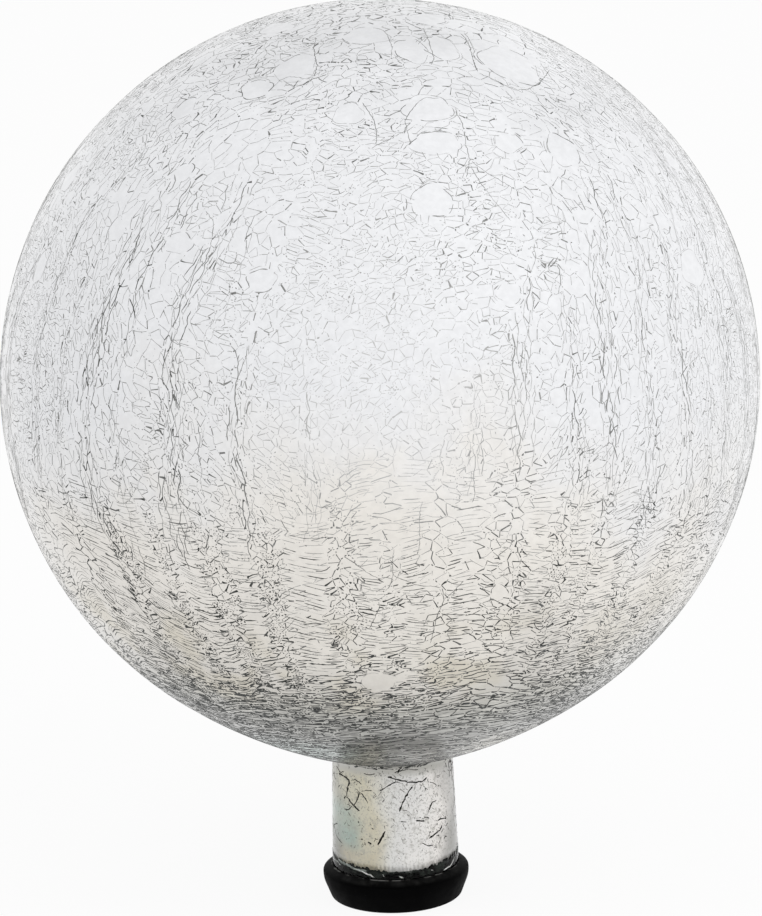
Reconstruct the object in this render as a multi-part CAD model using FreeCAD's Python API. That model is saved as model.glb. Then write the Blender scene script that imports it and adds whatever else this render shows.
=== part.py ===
import FreeCAD, Part
import math
import os

V = FreeCAD.Vector

# Garden gazing ball: a hollow blown ball of crackle glass, silvered inside, whose neck is closed by
# a rubber cap. Every piece is turned about the Z axis. The origin is the middle of the cap's flat
# underside. Lengths are in millimetres, angles in degrees.

# Glass ball
ball_radius = 127.0
ball_wall = 2.2
ball_centre_height = 181.0

# Shoulder, where the ball is drawn down into the neck
shoulder_radius = 175.0
shoulder_start_angle = 36.0
shoulder_fillet = 3.0

# Neck: it widens from the shoulder to a straight collar, which enters the cap
neck_top_radius = 20.6
collar_radius = 21.7
neck_wall = 3.0
collar_above_lip = 1.6

# Silver on the inside of the glass, drawn thicker than the real film
silver_thickness = 0.3
silver_end_above_lip = 3.4

# Rubber cap, outside
cap_height = 11.8
cap_foot_radius = 22.4
cap_foot_fillet = 0.9
cap_land_radius = 25.1
cap_land_low = 7.0
cap_land_length = 2.6
cap_wall_fillet = 5.0
lip_flat = 0.6
lip_fillet = 0.7

# Rubber cap, inside: a channel that the neck's rim seats in, round a hollow plug with sealing beads
cap_floor = 3.0
plug_height = 13.8
plug_wall = 3.2
plug_chamfer = 0.8
bead_count = 3
bead_reach = 0.7
bead_length = 1.8
bead_crest = 0.6

# Clearances between the cap and the neck
grip_clearance = 0.05
bead_clearance = 0.08
seat_clearance = 0.3

os.makedirs("parts", exist_ok=True)


def point(radius, height):
    """A point of a half outline, which lies in the plane that is turned about Z."""
    return V(radius, 0, height)


def on_circle(centre, radius, angle):
    """The point of a circle at an angle from straight down, towards +X."""
    return centre + point(radius * math.sin(angle), -radius * math.cos(angle))


def line(start, end):
    return Part.LineSegment(start, end).toShape()


def arc(centre, start, end):
    """The arc of under a half circle about a centre, from one point to another."""
    halfway = ((start - centre).normalize() + (end - centre).normalize()).normalize()
    return Part.Arc(start, centre + halfway * (start - centre).Length, end).toShape()


def rounded(corners):
    """Lines through (corner, fillet radius) pairs, each corner rounded by its own radius."""
    edges = []
    place = corners[0][0]
    for index in range(1, len(corners) - 1):
        corner, radius = corners[index]
        back = (corners[index - 1][0] - corner).normalize()
        ahead = (corners[index + 1][0] - corner).normalize()
        half = back.getAngle(ahead) / 2
        start = corner + back * (radius / math.tan(half))
        end = corner + ahead * (radius / math.tan(half))
        edges.append(line(place, start))
        if radius > 0:
            centre = corner + (back + ahead).normalize() * (radius / math.sin(half))
            edges.append(arc(centre, start, end))
        place = end
    edges.append(line(place, corners[-1][0]))
    return edges


def turned(edges):
    """The solid that a closed half outline makes when it is turned about Z."""
    face = Part.Face(Part.Wire(edges))
    return face.revolve(V(0, 0, 0), V(0, 0, 1), 360)


# Places that the pieces share
ball_centre = point(0, ball_centre_height)
shoulder_angle = math.radians(shoulder_start_angle)
shoulder_centre = on_circle(ball_centre, ball_radius - shoulder_radius, shoulder_angle)
junction_angle = math.asin((neck_top_radius - shoulder_centre.x) / shoulder_radius)
neck_top_height = on_circle(shoulder_centre, shoulder_radius, junction_angle).z
collar_top = cap_height + collar_above_lip
rim_height = cap_floor + seat_clearance
rim_radius = neck_wall / 2


def neck_radius(height):
    """The neck's outer radius: straight at the collar, and a cone from there to the shoulder."""
    up = max(0, height - collar_top) / (neck_top_height - collar_top)
    return collar_radius + (neck_top_radius - collar_radius) * up


def wall_line(ball_depth, neck_depth, foot):
    """The half outline of the ball, shoulder and neck from the pole down to the height foot, sunk
    into the glass by ball_depth and, in the neck, by neck_depth. Its last point comes with it."""
    ball = ball_radius - ball_depth
    shoulder = shoulder_radius - ball_depth
    fillet = shoulder_fillet + neck_depth
    pole = on_circle(ball_centre, ball, math.pi)
    shoulder_start = on_circle(ball_centre, ball, shoulder_angle)
    neck_high = point(neck_top_radius - neck_depth, neck_top_height)
    neck_low = point(collar_radius - neck_depth, collar_top)

    # The fillet's centre is as far outside the neck's line as outside the shoulder's arc
    down = (neck_low - neck_high).normalize()
    outward = point(-down.z, down.x)
    beside = neck_high + outward * fillet - shoulder_centre
    along = beside.dot(down)
    reach = shoulder + fillet
    drop = math.sqrt(reach ** 2 - beside.dot(beside) + along ** 2) - along
    fillet_centre = shoulder_centre + beside + down * drop
    shoulder_end = shoulder_centre + (fillet_centre - shoulder_centre) * (shoulder / reach)
    neck_start = fillet_centre - outward * fillet

    edges = [
        arc(ball_centre, pole, shoulder_start),
        arc(shoulder_centre, shoulder_start, shoulder_end),
        arc(fillet_centre, shoulder_end, neck_start),
    ]
    end = point(neck_radius(foot) - neck_depth, foot)
    if foot < collar_top:
        edges.append(line(neck_start, neck_low))
        edges.append(line(neck_low, end))
    else:
        edges.append(line(neck_start, end))
    return edges, pole, end


def shell(outside, inside, join):
    """A hollow of revolution between two wall lines, with the edges that join their feet."""
    outer_edges, outer_pole, _ = outside
    inner_edges, inner_pole, _ = inside
    return turned(outer_edges + join + inner_edges[::-1] + [line(inner_pole, outer_pole)])


def make_glass_globe():
    """The blown ball and neck in one piece, with a fire-polished rim."""
    foot = rim_height + rim_radius
    outside = wall_line(0, 0, foot)
    inside = wall_line(ball_wall, neck_wall, foot)
    lowest = point(collar_radius - rim_radius, rim_height)
    rim = Part.Arc(outside[2], lowest, inside[2]).toShape()
    return shell(outside, inside, [rim])


def make_silver_lining():
    """The mirror film on the inside of the glass, which stops above the cap's lip."""
    foot = cap_height + silver_end_above_lip
    outside = wall_line(ball_wall, neck_wall, foot)
    inside = wall_line(ball_wall + silver_thickness, neck_wall + silver_thickness, foot)
    return shell(outside, inside, [line(outside[2], inside[2])])


def make_rubber_cap():
    """The cap: lip, tapered wall and flat base outside, rim channel and beaded plug inside."""
    grip = collar_radius + grip_clearance
    seal = collar_radius - neck_wall - bead_clearance
    plug = seal - bead_reach
    hollow = plug - plug_wall
    bead_pitch = (plug_height - cap_floor) / (bead_count + 1)

    corners = [
        (point(0, 0), 0),
        (point(cap_foot_radius, 0), cap_foot_fillet),
        (point(cap_land_radius, cap_land_low), cap_wall_fillet),
        (point(cap_land_radius, cap_land_low + cap_land_length), lip_fillet),
        (point(grip + lip_flat, cap_height), lip_fillet),
        (point(grip, cap_height), 0),
        (point(grip, cap_floor), 0),
        (point(plug, cap_floor), 0),
    ]
    for bead in range(bead_count):
        middle = cap_floor + bead_pitch * (bead + 1)
        corners += [
            (point(plug, middle - bead_length / 2), 0),
            (point(seal, middle - bead_crest / 2), 0),
            (point(seal, middle + bead_crest / 2), 0),
            (point(plug, middle + bead_length / 2), 0),
        ]
    corners += [
        (point(plug, plug_height - plug_chamfer), 0),
        (point(plug - plug_chamfer, plug_height), 0),
        (point(hollow, plug_height), 0),
        (point(hollow, cap_floor), 0),
        (point(0, cap_floor), 0),
    ]
    return turned(rounded(corners) + [line(corners[-1][0], corners[0][0])])


nodes = {
    "glass_globe": make_glass_globe,
    "silver_lining": make_silver_lining,
    "rubber_cap": make_rubber_cap,
}
for name, make in nodes.items():
    solid = make()
    box = solid.BoundBox
    print(name, solid.ShapeType, solid.isValid(), round(solid.Volume),
          [round(side, 2) for side in (box.XLength, box.YLength, box.ZMin, box.ZMax)])
    solid.exportStep(f"parts/{name}.step")
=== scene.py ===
import math

import bmesh
import bpy
import numpy as np
from bpy.props import FloatProperty, FloatVectorProperty, IntProperty, PointerProperty
from bpy.types import Operator, Panel, PropertyGroup
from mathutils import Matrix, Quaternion, Vector
from mathutils.geometry import delaunay_2d_cdt


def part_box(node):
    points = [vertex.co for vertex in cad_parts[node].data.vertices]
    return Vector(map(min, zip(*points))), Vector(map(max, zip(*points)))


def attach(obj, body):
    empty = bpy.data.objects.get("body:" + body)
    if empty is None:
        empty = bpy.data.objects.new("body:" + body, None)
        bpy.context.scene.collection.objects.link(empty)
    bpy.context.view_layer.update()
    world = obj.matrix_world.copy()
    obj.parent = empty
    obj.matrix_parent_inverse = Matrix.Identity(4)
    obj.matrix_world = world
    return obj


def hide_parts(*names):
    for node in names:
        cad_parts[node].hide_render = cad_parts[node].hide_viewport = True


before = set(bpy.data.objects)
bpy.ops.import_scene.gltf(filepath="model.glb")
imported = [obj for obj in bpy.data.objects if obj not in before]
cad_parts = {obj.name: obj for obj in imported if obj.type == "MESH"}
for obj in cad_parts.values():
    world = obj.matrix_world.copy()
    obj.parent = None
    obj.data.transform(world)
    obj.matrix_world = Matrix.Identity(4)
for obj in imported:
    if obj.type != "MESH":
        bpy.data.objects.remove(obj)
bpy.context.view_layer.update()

bl_info = {
    "name": "Crackle glass gazing ball",
    "version": (1, 0, 0),
    "blender": (4, 5, 0),
    "location": "View3D > Sidebar > Gazing Ball",
    "description": "Dresses the frame of a garden gazing ball: silvered crackle glass and a rubber cap",
    "category": "Object",
}

# Everything is in metres. A place on the glass is a turn round the Z axis, 0 at the front and
# growing to the right, and a way down the outline from the top of the ball.
MM = 0.001
FULL_TURN = math.tau
UP_AXIS = (0.0, 0.0, 1.0)
SIDE_AXIS = (0.0, 1.0, 0.0)

GLOBE_LOW, GLOBE_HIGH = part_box("glass_globe")
CAP_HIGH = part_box("rubber_cap")[1]
BALL_HEIGHT = 181.0 * MM

# Facets of the turned pieces, and steps of the glass wall's lines: ball, shoulder, fillet and neck
GLOBE_STEPS = 372
CAP_STEPS = 144
RIM_STEPS = 8
OUTER_STEPS = (150, 26, 8, 14)
INNER_STEPS = (24, 6, 4, 4)

# Belts that the ball's cracks are parted into, with the height in mm of each one's lower end
CRACK_BELTS = {
    "crown": 268, "high": 236, "upper": 204, "middle": 172, "low_middle": 144, "low": 118, "lower": 94,
    "shoulder": 76}
# How far a crack stands off the glass, and how far its wedge is sunk into it
CRACK_RISE = 0.04 * MM
CRACK_SINK = 0.03 * MM
# Height of the lowest of the ball's cracks
CRACKS_END = 50.6 * MM
# Step along the long cracks of the ribs, and how far apart these cracks run
STRAND_STEP = 1.15 * MM
STRAND_GAP = 1.45 * MM
# Rungs between two ribs, and cracks in the neck
RUNG_COUNT = 74
NECK_CRACK_COUNT = 1700

# Smooth cells of unbroken glass at the front: turn and latitude in degrees, width and height in mm
FRONT_CELLS = (
    (-23, 62, 13.5, 16.0), (-31, 57, 11.0, 9.5), (15, 66, 10.5, 15.0), (26, 66, 11.0, 15.0),
    (13, 52.5, 15.5, 11.5), (13, 46, 16.0, 9.0), (-5, 52, 10.0, 9.0), (-1, 71, 15.0, 12.0),
    (44.5, 60, 20.0, 21.0), (39.5, 42.5, 11.0, 13.0), (28, 45, 9.0, 8.0), (10, 36.5, 13.0, 11.0),
    (37, 32, 9.0, 6.0), (20, 22, 8.0, 7.0), (57.5, 21, 13.0, 12.0), (-33.5, 30, 11.0, 7.0),
    (-17.8, 25.3, 10.0, 7.0), (-49, 52, 8.5, 9.5), (-38, 41, 7.0, 7.0), (-2, -37, 11.0, 10.0),
    (17, -21, 6.0, 6.0),
)
# Points that cracks fan out from at the front: turn and latitude in degrees
FRONT_STARS = (
    (2, -16), (8, -20), (-17, -19), (27, 25), (5, 35), (-15, 60), (-7, -41),
)
# Ribs at the front: turn in degrees, and strength, of the upper and of the lower part of the ball
HIGH_RIBS = (
    (-61, 0.7), (-53.5, 0.45), (-46.8, 1.35), (-40.5, 0.6), (-31, 1.5), (-25.5, 0.35), (-19.8, 0.9),
    (-10.5, 0.6), (-4.5, 0.4), (1, 0.4), (7.5, 0.7), (12.5, 0.6), (20.2, 1.2), (28, 0.8), (34.4, 1.2),
    (41.3, 0.9), (49, 0.85), (55, 0.6), (61, 0.8),
)
LOW_RIBS = (
    (-61, 0.7), (-51, 0.6), (-42.5, 1.1), (-33.5, 0.5), (-25, 1.2), (-17, 1.1), (-5.8, 1.35), (0.5, 0.5),
    (8.2, 1.4), (15, 0.6), (19.3, 1.1), (26.1, 1.3), (32, 0.8), (39.7, 0.9), (48.5, 0.7), (55, 0.6), (61, 0.7),
)
# The point, from the ball's centre, that the arcs of the upper cracks go round at the front
ARC_MIDDLE = (0.045, -0.975, 0.215)
# Long cracks at the front of the ball: each one's width, and the turn in degrees and height in mm of
# each of its places in turn
FRONT_CRACKS = (
    (0.42, -23.4, 300.8, -20.3, 297.6, -16.5, 293.9, -15.9, 290.8),
    (0.3, -15.9, 290.8, -17.4, 288.9, -21.2, 288.5, -25.0, 290.0),
    (0.36, 7.6, 302.2, 8.5, 300.2, 8.5, 298.0, 7.2, 295.5),
    (0.42, 27.1, 302.1, 24.6, 299.6, 22.4, 297.1, 21.2, 294.8, 19.0, 292.8),
    (0.5, 41.7, 300.0, 39.0, 297.6, 35.5, 295.1, 32.7, 292.1, 31.5, 290.0),
    (0.34, 43.9, 300.1, 39.6, 297.0, 36.1, 294.6),
    (0.34, 31.5, 290.0, 33.6, 288.1, 35.6, 286.2, 38.2, 284.3, 42.6, 284.0, 48.0, 285.3, 56.7, 287.8),
    (0.4, 57.0, 290.1, 55.1, 287.9, 53.7, 285.7, 52.6, 282.3),
    (0.36, 7.1, 278.3, 8.8, 280.9, 11.0, 283.2, 13.3, 284.6, 16.9, 284.1),
    (0.46, 10.0, 274.9, 11.8, 275.2, 13.5, 275.4, 16.4, 274.9),
    (0.34, -2.1, 284.1, -0.7, 281.9, 0.6, 279.1, 1.1, 276.3, 0.8, 272.5),
    (0.36, 7.4, 278.9, 7.4, 276.1, 7.7, 272.8, 5.8, 270.8),
    (0.3, 7.4, 276.1, 5.4, 275.2, 3.3, 273.7, 0.8, 272.5), (0.3, 8.0, 275.5, 10.0, 274.9),
    (0.3, -26.6, 287.8, -25.6, 290.0, -23.3, 291.0, -18.2, 290.5),
    (0.32, 19.6, 275.1, 18.9, 271.1, 18.7, 267.0, 16.9, 262.1), (0.3, 19.3, 280.7, 19.8, 277.3, 19.6, 275.1),
    (0.3, 18.7, 267.0, 21.0, 263.3, 23.2, 260.8, 25.6, 257.6),
    (0.3, 18.4, 265.8, 19.3, 260.8, 20.9, 255.5, 23.0, 248.9), (0.36, -1.1, 134.2, -1.9, 130.0, -3.0, 125.3),
    (0.34, 8.1, 139.4, 8.5, 134.9, 7.4, 127.9, 6.7, 118.7), (0.3, 8.5, 134.9, 10.2, 138.2, 11.4, 141.3),
    (0.3, 0.8, 144.5, 2.5, 142.6, 4.9, 140.3, 8.1, 139.4),
    (0.3, -5.1, 150.1, -2.9, 145.8, -0.9, 143.0, 0.8, 144.5),
    (0.3, 1.2, 153.7, 0.9, 149.0, 1.0, 144.3, 0.2, 139.4),
    (0.3, 5.3, 168.8, 4.8, 162.4, 4.9, 154.2, 4.4, 150.7), (0.3, 2.5, 137.8, 3.7, 134.2, 6.4, 133.0),
    (0.34, 15.5, 111.1, 16.5, 108.5), (0.3, -30.2, 254.4, -27.8, 251.1, -27.4, 246.6),
)
# Cracks of the neck, with the width in mm
NECK_CRACKS = (
    (0.42, -6, 48.3, 5, 47.0, 17, 45.6, 29, 45.6, 35, 46.4), (0.3, 35, 44.8, 41, 44.0, 46, 42.4),
    (0.3, 5, 46.9, -5, 45.0, -14, 43.0), (0.26, 9, 51.9, 6, 50.4, 4, 48.8),
    (0.4, 19, 44.7, 14, 42.6, 9, 39.3, 4, 35.5),
    (0.46, -64, 46.7, -51, 46.2, -45, 45.5, -48, 42.5, -50, 39.6, -41, 37.1, -33, 35.2),
    (0.38, -50, 39.6, -55, 38.3), (0.28, -41, 36.7, -36, 39.4, -33, 42.3, -24, 38.8),
    (0.22, -33, 42.3, -26, 42.9, -19, 43.1), (0.34, 4, 32.1, 8, 32.2, 12, 31.9),
    (0.4, 19, 32.3, 25, 31.6, 30, 31.4), (0.34, 27, 33.2, 35, 31.8), (0.34, 42, 30.5, 50, 30.6, 58, 30.1),
    (0.36, 45, 37.8, 38, 37.2, 33, 34.4), (0.44, 51, 28.8, 46, 26.9, 37, 25.7, 31, 24.7),
    (0.32, 46, 23.4, 43, 22.0), (0.3, 24, 24.3, 29, 22.8, 38, 22.3), (0.46, -27, 25.0, -21, 24.2),
    (0.46, -17, 23.8, -14, 25.4, -8, 29.6), (0.44, 67, 48.1, 76, 49.0), (0.4, 69, 44.9, 78, 46.4),
    (0.34, -78, 46.0, -70, 43.2), (0.34, -34, 25.6, -30, 25.4), (0.36, -36, 31.5, -34, 31.2),
    (0.36, -22, 29.7, -19, 29.5), (0.3, -11, 39.1, -8, 40.7), (0.34, 31, 42.9, 33, 42.8),
    (0.3, 21, 39.9, 23, 40.2), (0.3, 66, 50.0, 68, 46.6, 67, 43.0), (0.32, 73, 50.2, 75, 45.5, 74, 41.0),
    (0.26, 79, 49.0, 80, 43.8), (0.3, 60, 49.6, 63, 47.0), (0.26, -70, 48.8, -60, 47.2, -52, 48.0),
    (0.24, -45, 45.4, -38, 46.4, -30, 44.9), (0.26, -58, 43.2, -66, 41.0), (0.24, -60, 46.6, -66, 49.4),
    (0.22, -41, 37.1, -47, 35.0, -55, 34.6), (0.3, 40, 24.8, 43, 25.4, 46, 24.6), (0.3, 47, 25.6, 51, 26.6),
    (0.28, 36, 20.8, 39, 21.6, 43, 20.9), (0.3, 50, 22.8, 54, 24.0, 57, 23.2), (0.28, 33, 26.5, 35, 27.6),
    (0.26, 55, 27.2, 59, 28.4), (0.26, 0, 49.6, 14, 50.6, 26, 49.7), (0.26, -30, 49.0, -22, 48.4, -16, 49.4),
)
# Bright cracks in the clear end of the neck
CLEAR_CRACKS = (
    (0.34, -66, 15.7, -57, 15.2, -47, 15.0, -40, 14.5, -32, 14.2, -25, 13.3, -20, 12.4),
    (0.2, -38, 14.4, -33, 14.9, -27, 14.4), (0.26, 2, 13.3, 5, 12.8, 7, 12.3),
    (0.26, 70, 15.0, 66, 14.1, 61, 13.0, 55, 12.5, 48, 12.2), (0.16, -13, 13.9, -10, 13.0),
    (0.22, -84, 15.2, -76, 14.4, -68, 14.6, -60, 14.1), (0.18, 33, 14.0, 36, 13.2),
    (0.3, 150, 15.6, 158, 14.6, 165, 14.0, 171, 12.6), (0.24, -140, 15.0, -133, 13.6, -128, 12.6),
)


def size_prop(name, description, size):
    return FloatProperty(name=name, description=description, default=size, unit="LENGTH", precision=5)


def colour_prop(name, description, value):
    return FloatVectorProperty(name=name, description=description, default=value, subtype="COLOR", size=3)


def count_prop(name, description, value, least=0):
    return IntProperty(name=name, description=description, default=value, min=least)


class GlobeSizes(PropertyGroup):
    ball_radius: size_prop(
        "Ball radius", "Outside radius of the glass ball, cracks left out",
        round(GLOBE_HIGH.z - BALL_HEIGHT, 4) - CRACK_RISE)
    ball_height: size_prop("Ball height", "Height of the ball's centre above the cap's underside", BALL_HEIGHT)
    ball_wall: size_prop("Ball wall", "Thickness of the glass in the ball", 2.2 * MM)
    shoulder_radius: size_prop("Shoulder radius", "Radius of the arc from the ball to the neck", 175.0 * MM)
    shoulder_angle: FloatProperty(
        name="Shoulder angle", description="Where the shoulder leaves the ball, from straight down",
        default=math.radians(36.0), unit="ROTATION")
    shoulder_fillet: size_prop("Shoulder fillet", "Rounding between the shoulder and the neck", 3.0 * MM)
    neck_top_radius: size_prop("Neck top radius", "Outside radius of the neck under the ball", 20.6 * MM)
    collar_radius: size_prop("Collar radius", "Outside radius of the end that enters the cap", 21.7 * MM)
    collar_height: size_prop("Collar height", "Height at which the straight end begins", 13.4 * MM)
    neck_wall: size_prop("Neck wall", "Thickness of the glass in the neck", 3.0 * MM)
    silver_height: size_prop("Silver's edge", "Mean height of the silver's ragged lower edge", 16.1 * MM)
    silver_thickness: size_prop("Silver thickness", "Thickness that the mirror film is drawn with", 0.3 * MM)
    rib_count: count_prop("Ribs", "Optic ribs blown into the ball", 46, 1)
    rib_depth: size_prop("Rib depth", "Depth of the shallow flutes between the ribs", 0.16 * MM)
    silver_white: colour_prop("Bright silver", "Colour of the silver in the upper ball", (0.875, 0.882, 0.902))
    # The warm colour of the lower ball is a painted reflection of a warm floor, and the dark colour low on the
    # shoulder is painted shade reflected from under the ball
    warm_floor_reflection: colour_prop("Warm silver", "Colour of the silver in the lower ball", (0.865, 0.832, 0.780))
    shoulder_shade: colour_prop("Dark silver", "Colour of the silver low on the shoulder", (0.30, 0.31, 0.285))


class CrackSizes(PropertyGroup):
    seed: count_prop("Seed", "Picks another set of cracks", 7)
    fine_width: size_prop("Fine width", "Width of the fine cracks at the glass surface", 0.16 * MM)
    deep_width: size_prop("Deep width", "Width of the deep cracks at the glass surface", 0.30 * MM)
    per_area: FloatProperty(
        name="Cells per square millimetre", description="How many cells the cracks make between the ribs",
        default=0.17, min=0.0)
    cell_count: count_prop("Cells", "Smooth cells on the sides and back of the ball", 56)
    star_count: count_prop("Stars", "Points on the sides and back that cracks fan out from", 16)
    fleck_count: count_prop("Flecks", "Short loose cracks between the others", 22000)
    light: colour_prop("Pale cracks", "Colour of the faintest cracks", (0.43, 0.43, 0.42))
    dark: colour_prop("Dark cracks", "Colour of the darkest cracks", (0.020, 0.023, 0.020))


class CapSizes(PropertyGroup):
    radius: size_prop("Cap radius", "Radius of the cap's widest part", 25.1 * MM)
    foot_radius: size_prop("Foot radius", "Radius of the cap's underside", 22.4 * MM)
    lip_height: size_prop("Lip height", "Height of the lip's inner edge", 11.8 * MM)
    black: colour_prop("Rubber black", "Colour of the rubber", (0.0008, 0.0008, 0.0009))


class StageSizes(PropertyGroup):
    camera_place: FloatVectorProperty(
        name="Camera", description="Where the camera stands", subtype="TRANSLATION", unit="LENGTH", size=3,
        default=(0.0, -1.2445, 0.4342))
    camera_aim: FloatVectorProperty(
        name="Aim", description="What the camera looks at", subtype="TRANSLATION", unit="LENGTH", size=3,
        default=(-0.0005, 0.0, 0.154))
    camera_roll: FloatProperty(
        name="Roll", description="Roll of the camera", default=math.radians(1.9), unit="ROTATION")
    focal_length: FloatProperty(name="Focal length", description="Focal length in mm", default=148.75, unit="CAMERA")
    floor_size: FloatProperty(name="Floor", description="Side of the square floor", default=14.0, unit="LENGTH")
    sky: FloatProperty(name="Sky light", description="Strength of the even light", default=0.74, min=0.0)
    key_power: FloatProperty(name="Key light", description="Power of the large lamp", default=17.0, unit="POWER")
    fill_power: FloatProperty(name="Fill light", description="Power of the left lamp", default=7.0, unit="POWER")


def finished(mesh, name, body, slot, material, *nodes):
    """Puts a finished bmesh into the scene as a piece that rides on a body and stands for CAD nodes."""
    data = bpy.data.meshes.new(name)
    mesh.to_mesh(data)
    mesh.free()
    piece = bpy.data.objects.new(name, data)
    bpy.context.scene.collection.objects.link(piece)
    data.materials.append(material)
    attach(piece, body)
    if nodes:
        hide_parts(*nodes)
    return piece


def numbers(items, name, width, kind=np.float32):
    found = np.empty(len(items) * width, kind)
    items.foreach_get(name, found)
    return found.reshape(-1, width) if width > 1 else found


def rolled_out(data, up):
    """Lays a mesh's bake map out as a roll: the turn round Z across it, and up, one share a vertex,
    along it. A face on the seam behind stays in one part."""
    corner_vertex = numbers(data.loops, "vertex_index", 1, np.int32)
    first = numbers(data.polygons, "loop_start", 1, np.int32)
    count = numbers(data.polygons, "loop_total", 1, np.int32)
    place = numbers(data.vertices, "co", 3)
    turn = np.arctan2(place[:, 0], -place[:, 1])[corner_vertex] / FULL_TURN + 0.5
    on_axis = (np.hypot(place[:, 0], place[:, 1]) < 1e-6)[corner_vertex]
    lead = np.repeat(np.maximum.reduceat(np.where(on_axis, -1.0, turn), first), count)
    turn = np.where(lead - turn > 0.5, turn + 1.0, turn)
    most = np.repeat(np.maximum.reduceat(np.where(on_axis, -1.0, turn), first), count)
    turn = np.where(on_axis, most, turn)
    turn = np.where(most > 1.0, turn - (most - 1.0), turn)
    layer = data.uv_layers.new(name="OFBake")
    layer.uv.foreach_set("vector", np.stack((turn, up[corner_vertex]), axis=1).astype(np.float32).ravel())


def swung(mesh, last, centre, angle, steps):
    """Carries the last vertex of an outline round a centre, and returns where it ends. Angles turn
    the outline from the top of the ball outwards and down."""
    swept = bmesh.ops.spin(
        mesh, geom=[last], cent=centre, axis=SIDE_AXIS, dvec=(0.0, 0.0, 0.0), angle=angle, steps=steps,
        use_merge=False, use_normal_flip=False, use_duplicate=False)
    return [part for part in swept["geom_last"] if isinstance(part, bmesh.types.BMVert)][0]


def run_on(mesh, last, target, steps=1):
    """Carries the last vertex of an outline on in a straight line."""
    start = last.co.copy()
    for step in range(steps):
        last = bmesh.ops.extrude_vert_indiv(mesh, verts=[last])["verts"][0]
        last.co = start.lerp(Vector(target), (step + 1) / steps)
    return last


def turned(mesh, steps):
    """Turns an outline about Z into a closed mesh: a sector, and copies of it all the way round."""
    sectors = 12
    about = {
        "cent": (0.0, 0.0, 0.0), "axis": UP_AXIS, "dvec": (0.0, 0.0, 0.0), "use_merge": False,
        "use_normal_flip": False}
    bmesh.ops.spin(
        mesh, geom=mesh.verts[:] + mesh.edges[:], angle=FULL_TURN / sectors, steps=steps // sectors,
        use_duplicate=False, **about)
    bmesh.ops.spin(
        mesh, geom=mesh.verts[:] + mesh.edges[:] + mesh.faces[:], angle=FULL_TURN * (sectors - 1) / sectors,
        steps=sectors - 1, use_duplicate=True, **about)
    bmesh.ops.remove_doubles(mesh, verts=mesh.verts[:], dist=1e-6)
    bmesh.ops.recalc_face_normals(mesh, faces=mesh.faces[:])
    for face in mesh.faces:
        face.smooth = True


def turn_of(vertex):
    return math.atan2(vertex.co.x, -vertex.co.y)


def wrapped(turn):
    """A turn as the same one between half a turn back and half a turn on."""
    return (turn + math.pi) % FULL_TURN - math.pi


def by_way(way, stops, values):
    """Values that change evenly between stops, which are ways down in mm."""
    return np.interp(way, np.array(stops) * MM, values)


def wall_outline(mesh, sizes, ball_depth, neck_depth, foot, steps):
    """Draws the glass wall's line from the top of the ball down to the height foot, sunk into the
    glass by ball_depth and, in the neck, by neck_depth. Returns its last vertex."""
    ball_steps, shoulder_steps, fillet_steps, neck_steps = steps
    ball = sizes.ball_radius - ball_depth
    shoulder = sizes.shoulder_radius - ball_depth
    fillet = sizes.shoulder_fillet + neck_depth
    out = Vector((math.sin(sizes.shoulder_angle), 0.0, -math.cos(sizes.shoulder_angle)))
    ball_centre = Vector((0.0, 0.0, sizes.ball_height))
    shoulder_centre = ball_centre + out * (sizes.ball_radius - sizes.shoulder_radius)

    lean = math.asin((sizes.neck_top_radius - shoulder_centre.x) / sizes.shoulder_radius)
    neck_high = Vector((
        sizes.neck_top_radius - neck_depth, 0.0,
        shoulder_centre.z - sizes.shoulder_radius * math.cos(lean)))
    neck_low = Vector((sizes.collar_radius - neck_depth, 0.0, sizes.collar_height))
    down = (neck_low - neck_high).normalized()
    outward = Vector((-down.z, 0.0, down.x))
    beside = neck_high + outward * fillet - shoulder_centre
    along = beside.dot(down)
    drop = math.sqrt((shoulder + fillet) ** 2 - beside.dot(beside) + along ** 2) - along
    fillet_centre = shoulder_centre + beside + down * drop

    reach = fillet_centre - shoulder_centre
    shoulder_end = math.atan2(reach.x, -reach.z)
    neck_start = math.atan2(outward.x, -outward.z)
    last = mesh.verts.new((0.0, 0.0, sizes.ball_height + ball))
    last = swung(mesh, last, ball_centre, math.pi - sizes.shoulder_angle, ball_steps)
    last = swung(mesh, last, shoulder_centre, sizes.shoulder_angle - shoulder_end, shoulder_steps)
    last = swung(mesh, last, fillet_centre, -(neck_start - shoulder_end), fillet_steps)
    if foot < sizes.collar_height:
        last = run_on(mesh, last, neck_low, neck_steps)
        return run_on(mesh, last, (neck_low.x, 0.0, foot))
    share = (last.co.z - foot) / (last.co.z - neck_low.z)
    return run_on(mesh, last, last.co.lerp(neck_low, share), neck_steps)


class Swells:
    """Smooth random swells in space: a sum of plane waves near one length."""

    def __init__(self, random, length, count=14):
        way = random.normal(size=(count, 3))
        way /= np.linalg.norm(way, axis=1, keepdims=True)
        self.waves = way * (FULL_TURN / length * random.uniform(0.7, 1.3, (count, 1)))
        self.starts = random.uniform(0.0, FULL_TURN, count)

    def __call__(self, places):
        return np.cos(places @ self.waves.T + self.starts).sum(axis=-1) * math.sqrt(2.0 / len(self.starts))


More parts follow.
